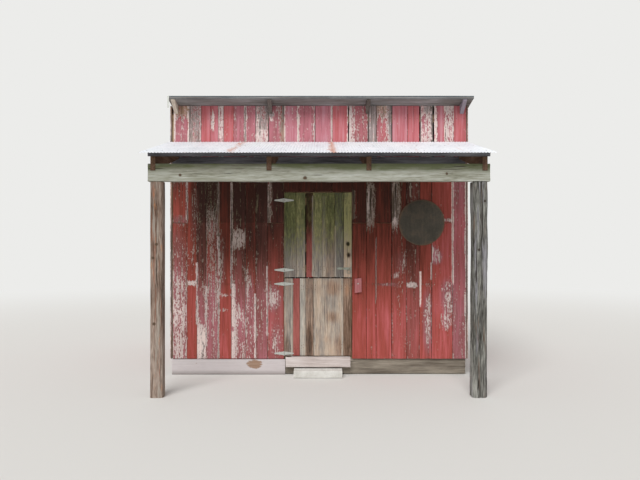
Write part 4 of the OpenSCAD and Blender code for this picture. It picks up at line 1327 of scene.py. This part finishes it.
def makeSheet(index, left, origin, length):
    s = porchSheets
    points = round((s["coverWaves"] + s["lapWaves"]) * s["pointsPerWave"])
    line = []
    for i in range(points + 1):
        x = i * s["wave"] / s["pointsPerWave"]
        line.append((left + x, 0, s["depth"] / 2 * (1 - math.cos(math.tau * x / s["wave"]))))
    part = drawSheet(line, s["rows"], (0, length / s["rows"], 0))
    raised = s["play"] + (index % 2) * (s["thickness"] + s["play"])
    angle = math.radians(s["slopeDegrees"])
    down = Vector((0, -math.cos(angle), -math.sin(angle)))
    out = Vector((0, -math.sin(angle), math.cos(angle)))
    for v in part.verts:
        along, height = v.co.y, v.co.z
        share = along / length
        dent = s["dent"] * noise.noise(Vector((v.co.x * 3.1 + index * 9, along * 2.3, index))) * share
        curl = noise.noise(Vector((v.co.x * 1.7, index * 3.3, 0)))
        lift = s["eaveLift"] * smoothStep(share, 0.8, 1.0) * curl
        place = origin + Vector((v.co.x, 0, 0)) + down * along
        v.co = place + out * (height + raised + max(0.0, dent + lift) * 0.5)
    thickenSheet(part, s["thickness"])
    return part


def makePorchSheets():
    s = porchSheets
    angle = math.radians(s["slopeDegrees"])
    stack = s["depth"] + 2 * s["thickness"] + 2 * s["play"]
    origin = Vector((0, wallFace - s["wallGap"], sheetHigh.z - stack * math.cos(angle)))
    length = (origin.y - sheetLow.y - stack * math.sin(angle)) / math.cos(angle)
    cover = s["coverWaves"] * s["wave"]
    parts = [makeSheet(i, sheetLow.x + i * cover, origin, length - s["short"]) for i in range(s["count"])]
    piece = makePiece("porch_tin", joined(parts), finishes["tin"],
                      standsFor=("porch_sheets",), smoothAngle=50)
    # nails through the crests into each purlin
    spots = []
    crests = round((sheetHigh.x - sheetLow.x) / s["wave"])
    for group in islands("porch_purlins"):
        y = sum(v.y for v in group) / len(group)
        z = max(v.z for v in group)
        for number in range(1, crests, s["nailEvery"]):
            crest = (number + 0.5) * s["wave"]
            stray = chance.uniform(-s["nailStray"], s["nailStray"])
            spots.append(Vector((sheetLow.x + crest, y + stray, z)))
    driveNails("tin_nails", piece, spots, Vector((0, 0, -1)), radius=s["nailRadius"])


# Zinc sheet: dull bright metal whose lightest tones are painted sky sheen, with rust that runs down from the
# wall in broken streaks
zincSheet = {
    # waves a metre
    "spangle": (34.0, 12.0, 34.0),
    "runs": (60.0, 1.9, 60.0),
    "blotch": (5.0, 2.2, 5.0),
    "fleck": (90.0, 60.0, 90.0),
    # zinc tones, the upper ones lifted near white as painted sky sheen
    "zincAndSheen": [(0.2, (192, 197, 203)), (0.45, (230, 234, 239)), (0.6, (242, 245, 249)), (0.8, (250, 252, 254))],
    "rust": [(0.0, (140, 84, 62)), (0.5, (196, 136, 112)), (1.0, (222, 182, 168))],
    # middle, half width and strength
    "streaks": [(-0.90, 0.10, 0.62), (0.143, 0.09, 0.80), (1.02, 0.06, 0.42), (1.5, 0.05, 0.40),
                (-1.35, 0.05, 0.38)],
    "bend": 0.16,
}


def makeZinc():
    values = zincSheet
    f = Finish("zinc_sheet")
    spangle = f.grains(values["spangle"], 5.0, 0.6)
    runs = f.grains(values["runs"], 5.0, 0.65)
    blotch = f.grains(values["blotch"], 4.0, 0.6)
    fleck = f.grains(values["fleck"], 4.0, 0.7)
    tone = f.total(0.5, (f.away(spangle), 0.5), (f.away(runs), 0.5), (f.away(blotch), 0.5))
    colour = f.ramp(tone, values["zincAndSheen"])
    bent = f.total(f.axis("X"), (f.away(blotch), values["bend"]))
    total = 0.0
    for middle, reach, amount in values["streaks"]:
        away = f.sums("ABSOLUTE", f.sums("SUBTRACT", bent, middle))
        total = f.sums("ADD", f.level(away, reach, 0.0, 0.0, amount), total)
    broken = f.total(total, (f.away(runs), 1.3), (f.away(fleck), 0.8), (f.away(blotch), 0.9))
    rusty = f.level(broken, 0.34, 0.95)
    speck = f.level(f.total(fleck, (f.away(blotch), 0.6)), 0.70, 0.80, 0.0, 0.6)
    rusty = f.sums("MAXIMUM", rusty, speck)
    colour = f.blend(rusty, colour, f.ramp(runs, values["rust"]))
    f.surface(colour, f.level(rusty, 0.0, 1.0, 0.45, 0.85), spangle, depth=0.0004,
              metallic=f.level(rusty, 0.0, 1.0, 0.06, 0.0))
    return f.material


finishes["tin"] = makeZinc()
makePorchSheets()
makeBeam()
print("porch roof and beam made")


# Porch posts: squared logs, the right one old, grey and split
leftPost = {
    "rounds": 40,       # points round it
    "step": 0.028,      # spacing of the loops along it
    "corner": 6.0,      # squarer as this rises
    "rough": 0.035,
    "knot": 0.03,
    "lean": 0.004,
    "thick": (0.96, 0.995),     # share of its box that it fills, and the most
    "barkWaves": (2.6, 1.3),    # round the post, and up it
    "knotWaves": (1.3, 3.1),
    # angle and half width in degrees, depth as a share, and wander
    "splits": [(-80.0, 6.0, 0.10, 0.6), (-55.0, 5.0, 0.07, 0.9)],
}
rightPost = {
    **leftPost,
    "rounds": 52,
    "step": 0.024,
    "corner": 4.0,
    "rough": 0.085,
    "knot": 0.09,
    "lean": 0.008,
    "splits": [(-82.0, 9.0, 0.42, 1.0), (-112.0, 5.0, 0.16, 1.4), (-48.0, 5.0, 0.14, 1.3),
               (-10.0, 5.0, 0.15, 1.1), (95.0, 6.0, 0.3, 1.0), (170.0, 5.0, 0.2, 1.0)],
}


def makePost(node, name, post, finish, seed):
    low, high = boxAround(node)
    middle, half = (low + high) / 2, (high - low) / 2
    usual, most = post["thick"]
    (barkRound, barkUp), (knotRound, knotUp) = post["barkWaves"], post["knotWaves"]
    part = bmesh.new()
    bmesh.ops.create_cone(part, cap_ends=True, cap_tris=False, segments=post["rounds"],
                          radius1=1, radius2=1, depth=2)
    cutAlong(part, 2, round(2 * half.z / post["step"]))
    for v in part.verts:
        angle = math.atan2(v.co.y, v.co.x)
        up = (v.co.z + 1) * half.z
        c, s = math.cos(angle), math.sin(angle)
        reach = (abs(c) ** post["corner"] + abs(s) ** post["corner"]) ** (-1 / post["corner"])
        bark = noise.fractal(Vector((c * barkRound + seed, s * barkRound, up * barkUp)), 0.6, 2.2, 4)
        knots = max(0.0, noise.noise(Vector((c * knotRound, s * knotRound + seed, up * knotUp))) - 0.25)
        cleft = 0.0
        for number, (where, halfWidth, depth, stray) in enumerate(post["splits"]):
            line = math.radians(where) + stray * 0.22 * drift(seed + number * 5, up, 1.1)
            away = abs((angle - line + math.pi) % (2 * math.pi) - math.pi) / math.radians(halfWidth)
            gape = 0.55 + 0.45 * drift(seed + 40 + number, up, 1.7)
            cleft = max(cleft, depth * gape * max(0.0, 1 - away))
        size = min(most, usual - post["rough"] * (0.5 + bark) + post["knot"] * knots - cleft)
        x = middle.x + c * reach * size * half.x + post["lean"] * drift(seed + 2, up, 0.5)
        y = middle.y + s * reach * size * half.y + post["lean"] * drift(seed + 4, up, 0.5)
        v.co = Vector((x, y, low.z + up))
    return makePiece(name, part, finish, standsFor=(node,), smoothAngle=60)


makePost("porch_post_left", "porch_log_left", leftPost, finishes["postLeft"], 5.0)
makePost("porch_post_right", "porch_log_right", rightPost, finishes["postRight"], 9.0)
print("porch posts made")


# Base timbers, skirt, plank and step
def makeTimberFor(node, name, along, finish, seed, hewn):
    low, high = boxAround(node)
    return makePiece(name, makeHewn(low, high, along, seed, hewn), finish, standsFor=(node,),
                     smoothAngle=45)


baseTimber = {**hewnTimber, "arris": 0.010, "fine": 0.004, "slow": 0.006, "step": 0.04, "cell": 0.035}
baseSills = {"front_sill": 0, "rear_sill": 0, "left_sill": 1, "right_sill": 1}      # axis of each
for number, (node, along) in enumerate(baseSills.items()):
    makeTimberFor(node, node + "_hewn", along, finishes["baseDeep" if along else "baseAcross"],
                  20.0 + number, baseTimber)

skirtPaint = {
    "grain": (3.0, 60.0, 60.0),     # waves a metre
    "chips": (14.0, 40.0, 40.0),
    "paint": [(0.0, (166, 158, 156)), (0.5, (196, 188, 188)), (1.0, (214, 208, 206))],
    "wood": [(0.0, (96, 76, 62)), (0.5, (150, 122, 102)), (1.0, (172, 150, 132))],
    "dirt": (104, 96, 88),
    "dirtReach": 0.07,                 # height of the dirt over the ground
    "peelColumns": (247.0, 262.0),     # pixels of the photograph
    "peelRows": (359.5, 368.5),
    "hewn": {"arris": 0.003, "fine": 0.0015, "slow": 0.002, "step": 0.05},
}


def makeSkirtFinish():
    values = skirtPaint
    f = Finish("skirt_paint")
    grain = f.grains(values["grain"], 5.0, 0.6)
    chips = f.grains(values["chips"], 7.0, 0.7)
    colour = f.ramp(f.total(0.0, (grain, 0.6), (chips, 0.4)), values["paint"])
    wood = f.ramp(grain, values["wood"])
    # the paint is off in one oval place, with ragged edges
    left, right = [wallX(column) for column in values["peelColumns"]]
    high, low = [wallZ(row) for row in values["peelRows"]]
    squares = []
    for axis, start, end in (("X", left, right), ("Z", low, high)):
        offset = f.sums("SUBTRACT", f.axis(axis), (start + end) / 2)
        share = f.sums("DIVIDE", offset, (end - start) / 2)
        squares.append(f.sums("MULTIPLY", share, share))
    peel = f.level(f.total(f.sums("ADD", *squares), (f.away(chips), 3.0)), 1.2, 0.7)
    loose = f.level(chips, 0.64, 0.70)
    colour = f.blend(f.sums("MAXIMUM", peel, loose), colour, wood)
    dirt = f.level(f.axis("Z"), values["dirtReach"], 0.0, 0.0, 0.55)
    colour = f.blend(dirt, colour, values["dirt"])
    return f.surface(colour, 0.8, f.total(grain, (peel, -0.5)), depth=0.0015, gloss=0.25)


finishes["skirt"] = makeSkirtFinish()
makeTimberFor("skirt_board", "skirt_plank", 0, finishes["skirt"], 31.0,
              {**hewnTimber, **skirtPaint["hewn"]})
makeTimberFor("door_plank", "door_plank_hewn", 0, finishes["plank"], 33.0,
              {**hewnTimber, "fine": 0.003, "slow": 0.003, "step": 0.025, "cell": 0.02})

castConcrete = {
    "broad": (9.0, 9.0, 9.0),       # waves a metre
    "grit": (160.0, 160.0, 160.0),
    "cells": (70.0, 70.0, 70.0),
    "tones": [(0.25, (178, 174, 166)), (0.5, (208, 206, 200)), (0.8, (222, 221, 217))],
    "pits": (150, 144, 136),
    "hewn": {"arris": 0.009, "fine": 0.002, "slow": 0.002, "step": 0.025, "cell": 0.025},
}


def makeConcrete():
    values = castConcrete
    f = Finish("cast_concrete")
    broad = f.grains(values["broad"], 6.0, 0.6)
    grit = f.grains(values["grit"], 4.0, 0.7)
    pitted = f.level(f.cells(values["cells"]), 0.12, 0.20)
    colour = f.ramp(f.total(0.0, (broad, 0.7), (grit, 0.3)), values["tones"])
    colour = f.blend(pitted, values["pits"], colour)
    return f.surface(colour, 0.92, f.total(0.0, (grit, 0.4), (pitted, 0.5)), depth=0.001, gloss=0.2)


finishes["concrete"] = makeConcrete()
makeTimberFor("door_step", "door_step_block", 0, finishes["concrete"], 35.0,
              {**hewnTimber, **castConcrete["hewn"]})
print("base, skirt, plank and step made")


# Roof covering: dark sheet in lapped strips, turned down at the front and rear
roofSheet = {
    "thickness": 0.004,
    "bays": 72,             # loops across the roof
    "spacing": 0.06,        # loops down the slope
    "laps": 3,              # strips down the slope
    "lapHeight": 0.0034,
    "lapEdge": 0.0012,      # half the depth of the step at a lap
    "lapClear": 0.01,       # no other row of points lies this close to a step
    "over": 0.0005,         # over the roof boards
    "bed": 0.001,           # and so much more away from the front edge
    "bend": 0.012,          # the first row of points lies this far behind the front edge
    "flat": 0.005,          # the edges stay unrippled over this length
    "edgeWave": 0.003,      # rise and fall of the front edge
    "edgeDepth": 0.03,
    "dropGap": 0.004,       # the front drip ends this far under the roof boards
    "nailPitch": 0.11,
    "nailInset": 0.024,     # from a strip's lower edge
    "nailStray": (0.012, 0.003, 0.004),     # across and back on a lap, and across at the sides
    "nailRadius": 0.0062,
    "ripple": 0.0022,
}


def makeCovering():
    s = roofSheet
    low, high = boxAround("roof_covering")
    edgeDrop = leftHigh.z + (wallFace - low.y) * roofSlope
    frontY, rearY = low.y + s["thickness"], high.y - s["thickness"] / 2
    run = rearY - frontY
    steps = round(run / s["spacing"])
    strip = run / s["laps"]
    places = [s["bend"] + (run - s["bend"]) * i / steps for i in range(steps + 1)]
    steepEnds = [strip * lap + side * s["lapEdge"] for lap in range(1, s["laps"]) for side in (-1, 1)]
    places = [back for back in places if all(abs(back - end) > s["lapClear"] for end in steepEnds)]

    def roofTop(y, over=0.0):
        return deckTop.z + over - (y - deckLow.y) * roofSlope

    outline = [(low.x, frontY, edgeDrop - s["dropGap"]), (low.x, frontY, high.z)]
    for back in sorted(places + steepEnds):
        outline.append((low.x, frontY + back, roofTop(frontY + back, s["over"] + s["bed"])))
    outline.append((low.x, rearY, low.z))
    part = drawSheet(outline, s["bays"], ((high.x - low.x) / s["bays"], 0, 0))
    for v in part.verts:
        back = v.co.y - frontY
        if s["flat"] < back < run - s["flat"]:
            ripple = noise.noise(Vector((v.co.x * 1.6, back * 2.4, 3)))
            ripple += 0.5 * noise.noise(Vector((v.co.x * 5, back, 8)))
            v.co.z += s["lapHeight"] * (back % strip) / strip
            v.co.z += s["ripple"] * (0.6 + ripple) * smoothStep(back, 0, 0.1)
        elif back <= s["flat"] and v.co.z > high.z - s["edgeDepth"]:
            v.co.z -= s["edgeWave"] * (0.5 + 0.5 * drift(2, v.co.x, 1.3))
    thickenSheet(part, s["thickness"])
    piece = makePiece("roof_felt", part, finishes["covering"],
                      standsFor=("roof_covering",), smoothAngle=35)
    # clout nails along every lower edge and down both sides
    spots = []
    across, along, aside = s["nailStray"]
    for lap in range(1, s["laps"] + 1):
        y = frontY + strip * lap - s["nailInset"] - (s["bend"] if lap == s["laps"] else 0)
        for number in range(1, round((high.x - low.x) / s["nailPitch"])):
            x = low.x + s["nailPitch"] * number + chance.uniform(-across, across)
            spots.append(Vector((x, y + chance.uniform(-along, along), roofTop(y))))
    for number in range(1, round(run / s["nailPitch"])):
        y = frontY + s["nailPitch"] * number
        for x in (low.x + s["nailInset"], high.x - s["nailInset"]):
            spots.append(Vector((x + chance.uniform(-aside, aside), y, roofTop(y))))
    driveNails("felt_nails", piece, spots, Vector((0, 0, -1)), radius=s["nailRadius"])


feltFinish = {
    # waves a metre
    "grit": (260.0, 260.0, 260.0),
    "broad": (2.2, 1.2, 2.2),
    "runs": (26.0, 1.1, 26.0),
    "fade": (0.5, 3.4, 0.5),
    "growth": (24.0, 24.0, 24.0),
    "tones": [(0.2, (56, 63, 69)), (0.5, (86, 94, 99)), (0.8, (122, 128, 128))],
    "lichen": (150, 152, 136),
    "pits": (40, 44, 48),
}


def makeCoveringFinish():
    values = feltFinish
    f = Finish("roof_felt_finish")
    grit = f.grains(values["grit"], 3.0, 0.7)
    broad = f.grains(values["broad"], 6.0, 0.6)
    runs = f.grains(values["runs"], 5.0, 0.6)
    fade = f.grains(values["fade"], 3.0, 0.5)
    tone = f.total(0.5, (f.away(broad), 0.7), (f.away(runs), 0.7), (f.away(fade), 0.5))
    colour = f.ramp(tone, values["tones"])
    growth = f.grains(values["growth"], 7.0, 0.7)
    lichen = f.level(f.total(growth, (f.away(broad), 0.5)), 0.66, 0.74)
    colour = f.blend(f.sums("MULTIPLY", lichen, 0.5), colour, values["lichen"])
    dark = f.level(grit, 0.3, 0.6, 0.7, 1.0)
    colour = f.blend(dark, values["pits"], colour)
    return f.surface(colour, 0.82, f.total(grit, (broad, 1.0), (lichen, 0.6)), depth=0.0009, gloss=0.3)


# Galvanised fittings: tones, and the level over which their spots rust (rarer as it rises)
zincIron = {
    "spangle": (120.0, 120.0, 120.0),       # waves a metre
    "spots": (60.0, 60.0, 60.0),
    "strap": ([(0.25, (150, 152, 148)), (0.5, (192, 194, 188)), (0.8, (216, 216, 210))], 0.60),
    "hasp": ([(0.25, (96, 100, 90)), (0.45, (146, 152, 140)), (0.8, (186, 190, 180))], 0.54),
    "rust": (128, 92, 66),
}


def makeIron(name, kind):
    f = Finish(name)
    tones, rust = zincIron[kind]
    spangle = f.grains(zincIron["spangle"], 4.0, 0.6)
    spots = f.grains(zincIron["spots"], 8.0, 0.7)
    colour = f.ramp(spangle, tones)
    rusty = f.level(spots, rust, rust + 0.12)
    colour = f.blend(rusty, colour, zincIron["rust"])
    return f.surface(colour, f.level(rusty, 0.0, 1.0, 0.48, 0.85), spangle, depth=0.0004,
                     metallic=f.level(rusty, 0.0, 1.0, 0.45, 0.0))


# Harrow disc on the front wall: a shallow dish with a square hole, hung on one big nail
discShape = {
    "steps": 96,
    "rows": 12,
    "thickness": 0.0035,
    "bevel": 0.012,         # ground edge all round
    "rimThin": 0.003,       # the back face ends this far inside the edge
    "hole": 0.014,          # half the width of the square hole
    "hub": (0.06, 0.055),   # radius of the plate round it, as shares, at the back and front
    "ringDip": 0.0010,      # faint rings left by rolling
    "ringWaves": 150,
    "rings": (0.05, 0.12),  # they begin between these radii
    "nicks": 0.0066,
    "nickWaves": 9,
    "bow": 0.9,
}


def makeDisc():
    d = discShape
    low, high = boxAround("wall_disc")
    centre, reach = (low + high) / 2, (high.x - low.x) / 2
    rise = high.y - low.y - d["thickness"] - 0.001
    line = []
    for row in range(d["rows"] + 1):
        out = row / d["rows"]
        line.append((reach * mixed(0.03, 1, out), rise * (1 - out * out) ** d["bow"]))
    part = bmesh.new()
    front = [part.verts.new((out, 0, height)) for out, height in line]
    front[-1].co.z = 0
    back = [part.verts.new((out, 0, height - d["thickness"])) for out, height in reversed(line)]
    back[0].co.x -= d["rimThin"]
    loop = front + back
    edges = [part.edges.new(pair) for pair in zip(loop, loop[1:] + loop[:1])]
    bmesh.ops.spin(part, geom=loop + edges, cent=(0, 0, 0), axis=(0, 0, 1), angle=math.tau, steps=d["steps"],
                   use_merge=True)
    bmesh.ops.remove_doubles(part, verts=part.verts, dist=weldReach)
    bmesh.ops.recalc_face_normals(part, faces=part.faces)
    for v in part.verts:
        out = math.hypot(v.co.x, v.co.y)
        angle = math.atan2(v.co.y, v.co.x)
        if out > reach - d["bevel"]:
            outward = Vector((math.cos(angle), math.sin(angle), 0))
            nick = max(0.0, noise.noise(outward * d["nickWaves"] + Vector((0, 0, 2))) - 0.15)
            v.co -= outward * d["nicks"] * nick
        else:
            wave = 0.5 + 0.5 * math.sin(out * d["ringWaves"])
            v.co.z -= d["ringDip"] * wave * smoothStep(out, *d["rings"])
    cutter = bmesh.new()
    addBox(cutter, (-d["hole"], -d["hole"], -0.02), (d["hole"], d["hole"], rise + 0.02))
    hub = bmesh.new()
    wide, narrow = [reach * share for share in d["hub"]]
    bmesh.ops.create_cone(hub, cap_ends=True, segments=d["steps"] // 2, radius1=wide, radius2=narrow,
                          depth=d["thickness"], matrix=Matrix.Translation((0, 0, rise - d["thickness"] / 2)))
    part = subtract(joined([part, hub]), cutter)
    toWall = Matrix.Translation((centre.x, high.y - d["thickness"] - 0.0005, centre.z))
    part.transform(toWall @ Matrix.Rotation(math.radians(90), 4, "X"))
    return makePiece("harrow_disc", part, finishes["disc"], standsFor=("wall_disc",),
                     smoothAngle=30)


discFinish = {
    "broad": (6.0, 6.0, 6.0),       # waves a metre
    "fine": (90.0, 90.0, 90.0),
    "drips": (44.0, 44.0, 3.0),
    "tones": [(0.3, (48, 46, 39)), (0.5, (78, 73, 64)), (0.66, (104, 90, 76)), (0.85, (132, 102, 78))],
    "ring": (112, 88, 68),
    "ringFrom": (0.250, 0.276),     # distance from the middle, metres
    "rust": (118, 84, 60),
}


def makeRustyDisc():
    values = discFinish
    f = Finish("rusty_disc")
    low, high = boxAround("wall_disc")
    centre = (low + high) / 2
    away = f.add("VectorMath", operation="DISTANCE")
    f.feed(away.inputs[0], f.place)
    away.inputs[1].default_value = (centre.x, high.y, centre.z)
    broad = f.grains(values["broad"], 6.0, 0.62)
    fine = f.grains(values["fine"], 6.0, 0.7)
    drips = f.grains(values["drips"], 4.0, 0.6)
    tone = f.total(0.0, (broad, 0.5), (fine, 0.3), (drips, 0.2))
    colour = f.ramp(tone, values["tones"])
    ring = f.level(f.total(away.outputs["Value"], (f.away(broad), 0.05)), *values["ringFrom"])
    colour = f.blend(f.sums("MULTIPLY", ring, 0.6), colour, values["ring"])
    rust = f.level(f.total(fine, (f.away(broad), 0.8)), 0.62, 0.76)
    colour = f.blend(f.sums("MULTIPLY", rust, 0.25), colour, values["rust"])
    return f.surface(colour, 0.66, f.total(fine, (broad, 1.0)), depth=0.0006, metallic=0.15)


buttonPaint = {
    "grain": (90.0, 90.0, 5.0),     # waves a metre
    "chips": (60.0, 60.0, 24.0),
    "tones": [(0.25, (146, 84, 84)), (0.5, (176, 108, 110)), (0.8, (196, 134, 134))],
    "bare": (150, 122, 112),
}


def makeButtonFinish():
    values = buttonPaint
    f = Finish("button_paint")
    grain = f.grains(values["grain"], 5.0, 0.6)
    chips = f.grains(values["chips"], 7.0, 0.7)
    colour = f.blend(f.level(chips, 0.56, 0.64), f.ramp(grain, values["tones"]), values["bare"])
    return f.surface(colour, 0.75, f.sums("ADD", grain, chips), depth=0.001, gloss=0.25)


finishes["covering"] = makeCoveringFinish()
finishes["iron"] = makeIron("zinc_iron", "strap")
finishes["hasp"] = makeIron("hasp_iron", "hasp")
finishes["disc"] = makeRustyDisc()
finishes["button"] = makeButtonFinish()
makeCovering()
print("roof covered")


def dress(finish, *nodes):
    # gives CAD nodes that stay a finish of their own
    for node in nodes:
        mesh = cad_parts[node].data
        mesh.materials.clear()
        mesh.materials.append(finish)


dress(finishes["frameUp"], "corner_posts", "door_posts", "upper_leaf_ledges", "lower_leaf_ledges")
dress(finishes["frameAcross"], "door_header", "front_top_plate", "rear_top_plate", "front_rails",
      "rear_rails", "sole_plates")
dress(finishes["frameDeep"], "side_rails", "floor_joists")
dress(finishes["tails"], "roof_rafters")
dress(finishes["underAcrossPaintedShade"], "porch_ledger", "porch_purlins")
dress(finishes["underDeep"], "porch_rafters")
dress(finishes["hasp"], "hasp")
dress(finishes["iron"], "wall_hinge_straps", "upper_leaf_straps", "lower_leaf_straps", "button_screw",
      "corner_flashing")
dress(finishes["disc"], "disc_nail")
dress(finishes["button"], "turn_button")
makeDisc()
print("CAD pieces finished and disc made")


# Screws in the fittings: domed heads with a slot, on each body that carries a plate
screw = {
    "radius": 0.0046,
    "height": 0.0017,
    "slotWidth": 0.0011,
    "slotDepth": 0.0008,
    "sunk": 0.0004,            # below the plate's face
    "profile": ((1.0, 0.35), (0.72, 0.82), (0.36, 1.0), (0.0, 1.0)),    # shares of radius and height
    "steps": 16,
    "plateFace": 0.0030,       # how far a plate's front lies off the boards
    "places": ((0.016, 0.0), (0.050, 0.009), (0.080, -0.009)),    # from a strap's far end, over its middle
    "mostTurn": 3.1,           # of the slot, radians
}


def addScrew(part, spot, turn):
    # the slot is left open between two halves of the head
    s = screw
    whole = bmesh.new()
    points = [whole.verts.new((s["radius"], 0, -s["sunk"]))]
    points += [whole.verts.new((s["radius"] * out, 0, s["height"] * up)) for out, up in s["profile"]]
    edges = [whole.edges.new(pair) for pair in zip(points, points[1:])]
    bmesh.ops.spin(whole, geom=points + edges, cent=(0, 0, 0), axis=(0, 0, 1), angle=math.tau,
                   steps=s["steps"], use_merge=True)
    bmesh.ops.remove_doubles(whole, verts=whole.verts, dist=weldReach / 10)
    for side in (-1, 1):
        cut = side * s["slotWidth"] / 2
        everything = whole.verts[:] + whole.edges[:] + whole.faces[:]
        bmesh.ops.bisect_plane(whole, geom=everything, plane_co=(cut, 0, 0), plane_no=(1, 0, 0),
                               dist=weldReach / 10)
    for v in whole.verts:
        if abs(v.co.x) < s["slotWidth"] * 0.49 and v.co.z > s["height"] * 0.4:
            v.co.z -= s["slotDepth"]
    bmesh.ops.recalc_face_normals(whole, faces=whole.faces)
    whole.transform(Matrix.Translation(spot) @ Matrix.Rotation(math.radians(90), 4, "X")
                    @ Matrix.Rotation(turn, 4, "Z"))
    carrier = bpy.data.meshes.new("carrier")
    whole.to_mesh(carrier)
    whole.free()
    part.from_mesh(carrier)
    bpy.data.meshes.remove(carrier)


def makeScrews(name, node, body, farLeft):
    part = bmesh.new()
    for strap in islands(node):
        left, right, low, high = frontSpan(strap)
        for inset, rise in screw["places"]:
            x = left + inset if farLeft else right - inset
            spot = Vector((x, wallFace - screw["plateFace"], (low + high) / 2 + rise))
            addScrew(part, spot, chance.uniform(0, screw["mostTurn"]))
    return makePiece(name, part, finishes["iron"], body=body, smoothAngle=35)


makeScrews("wall_strap_screws", "wall_hinge_straps", "shed", True)
makeScrews("upper_strap_screws", "upper_leaf_straps", "upper_leaf", False)
makeScrews("lower_strap_screws", "lower_leaf_straps", "lower_leaf", False)
print("screws made")


# Stage, lights and camera
studio = {
    "floorSize": 60.0,
    "floorColour": (214, 212, 208),
    "floorRough": 0.95,
    "glowFrom": (5.0, 16.0),        # the floor turns into the background between these distances
    "background": (236, 236, 234),
    "skyStrength": 0.52,
    "sunStrength": 2.5,
    "sunHeight": 46.0,      # degrees above the horizon
    "sunSide": -16.0,       # degrees to the left of the camera
    "sunSpread": 32.0,      # degrees, for soft shadows
}


def makeStage():
    part = bmesh.new()
    bmesh.ops.create_grid(part, x_segments=1, y_segments=1, size=studio["floorSize"] / 2)
    mesh = bpy.data.meshes.new("floor_stage")
    part.to_mesh(mesh)
    part.free()
    floor = bpy.data.objects.new("floor_stage", mesh)
    bpy.context.scene.collection.objects.link(floor)
    f = Finish("studio_floor")
    away = f.add("VectorMath", operation="LENGTH")
    f.feed(away.inputs[0], f.place)
    far = f.level(away.outputs["Value"], *studio["glowFrom"])
    seen = f.add("LightPath").outputs["Is Camera Ray"]
    f.surface(colourOf(studio["floorColour"]), studio["floorRough"], gloss=0.1)
    glow = f.add("Emission")
    f.feed(glow.inputs["Color"], colourOf(studio["background"]))
    both = f.add("MixShader")
    f.feed(both.inputs[0], f.sums("MULTIPLY", far, seen))
    f.feed(both.inputs[1], f.shader.outputs[0])
    f.feed(both.inputs[2], glow.outputs[0])
    f.feed(f.tree.nodes["Material Output"].inputs["Surface"], both.outputs[0])
    mesh.materials.append(f.material)


def makeLights():
    world = bpy.data.worlds.new("studio_world")
    bpy.context.scene.world = world
    world.use_nodes = True
    nodes, links = world.node_tree.nodes, world.node_tree.links
    lit = nodes["Background"]
    lit.inputs["Color"].default_value = (1.0, 1.0, 1.0, 1.0)
    lit.inputs["Strength"].default_value = studio["skyStrength"]
    shown = nodes.new("ShaderNodeBackground")
    shown.inputs["Color"].default_value = colourOf(studio["background"])
    path = nodes.new("ShaderNodeLightPath")
    direct = nodes.new("ShaderNodeMath")
    direct.operation = "MAXIMUM"
    links.new(path.outputs["Is Camera Ray"], direct.inputs[0])
    links.new(path.outputs["Is Glossy Ray"], direct.inputs[1])
    both = nodes.new("ShaderNodeMixShader")
    links.new(direct.outputs[0], both.inputs[0])
    links.new(lit.outputs[0], both.inputs[1])
    links.new(shown.outputs[0], both.inputs[2])
    links.new(both.outputs[0], nodes["World Output"].inputs["Surface"])
    lamp = bpy.data.lights.new("soft_sun", "SUN")
    lamp.energy = studio["sunStrength"]
    lamp.angle = math.radians(studio["sunSpread"])
    sun = bpy.data.objects.new("soft_sun", lamp)
    sun.rotation_euler = (math.radians(90 - studio["sunHeight"]), 0, math.radians(studio["sunSide"]))
    bpy.context.scene.collection.objects.link(sun)


def makeCamera():
    lens = bpy.data.cameras.new("photo_camera")
    lens.lens = photo["lens"]
    lens.sensor_width = photo["sensor"]
    lens.shift_x = (photo["width"] / 2 - photo["middleColumn"]) / photo["width"]
    lens.shift_y = (photo["eyeRow"] - photo["middleRow"]) / photo["width"]
    camera = bpy.data.objects.new("photo_camera", lens)
    camera.location = (0, wallFace - photo["eyeDistance"], photo["eyeHeight"])
    camera.rotation_euler = (math.radians(90), 0, 0)
    bpy.context.scene.collection.objects.link(camera)
    bpy.context.scene.camera = camera


makeStage()
makeLights()
makeCamera()
bpy.context.scene.view_settings.view_transform = "Standard"
print("stage, lights and camera set")
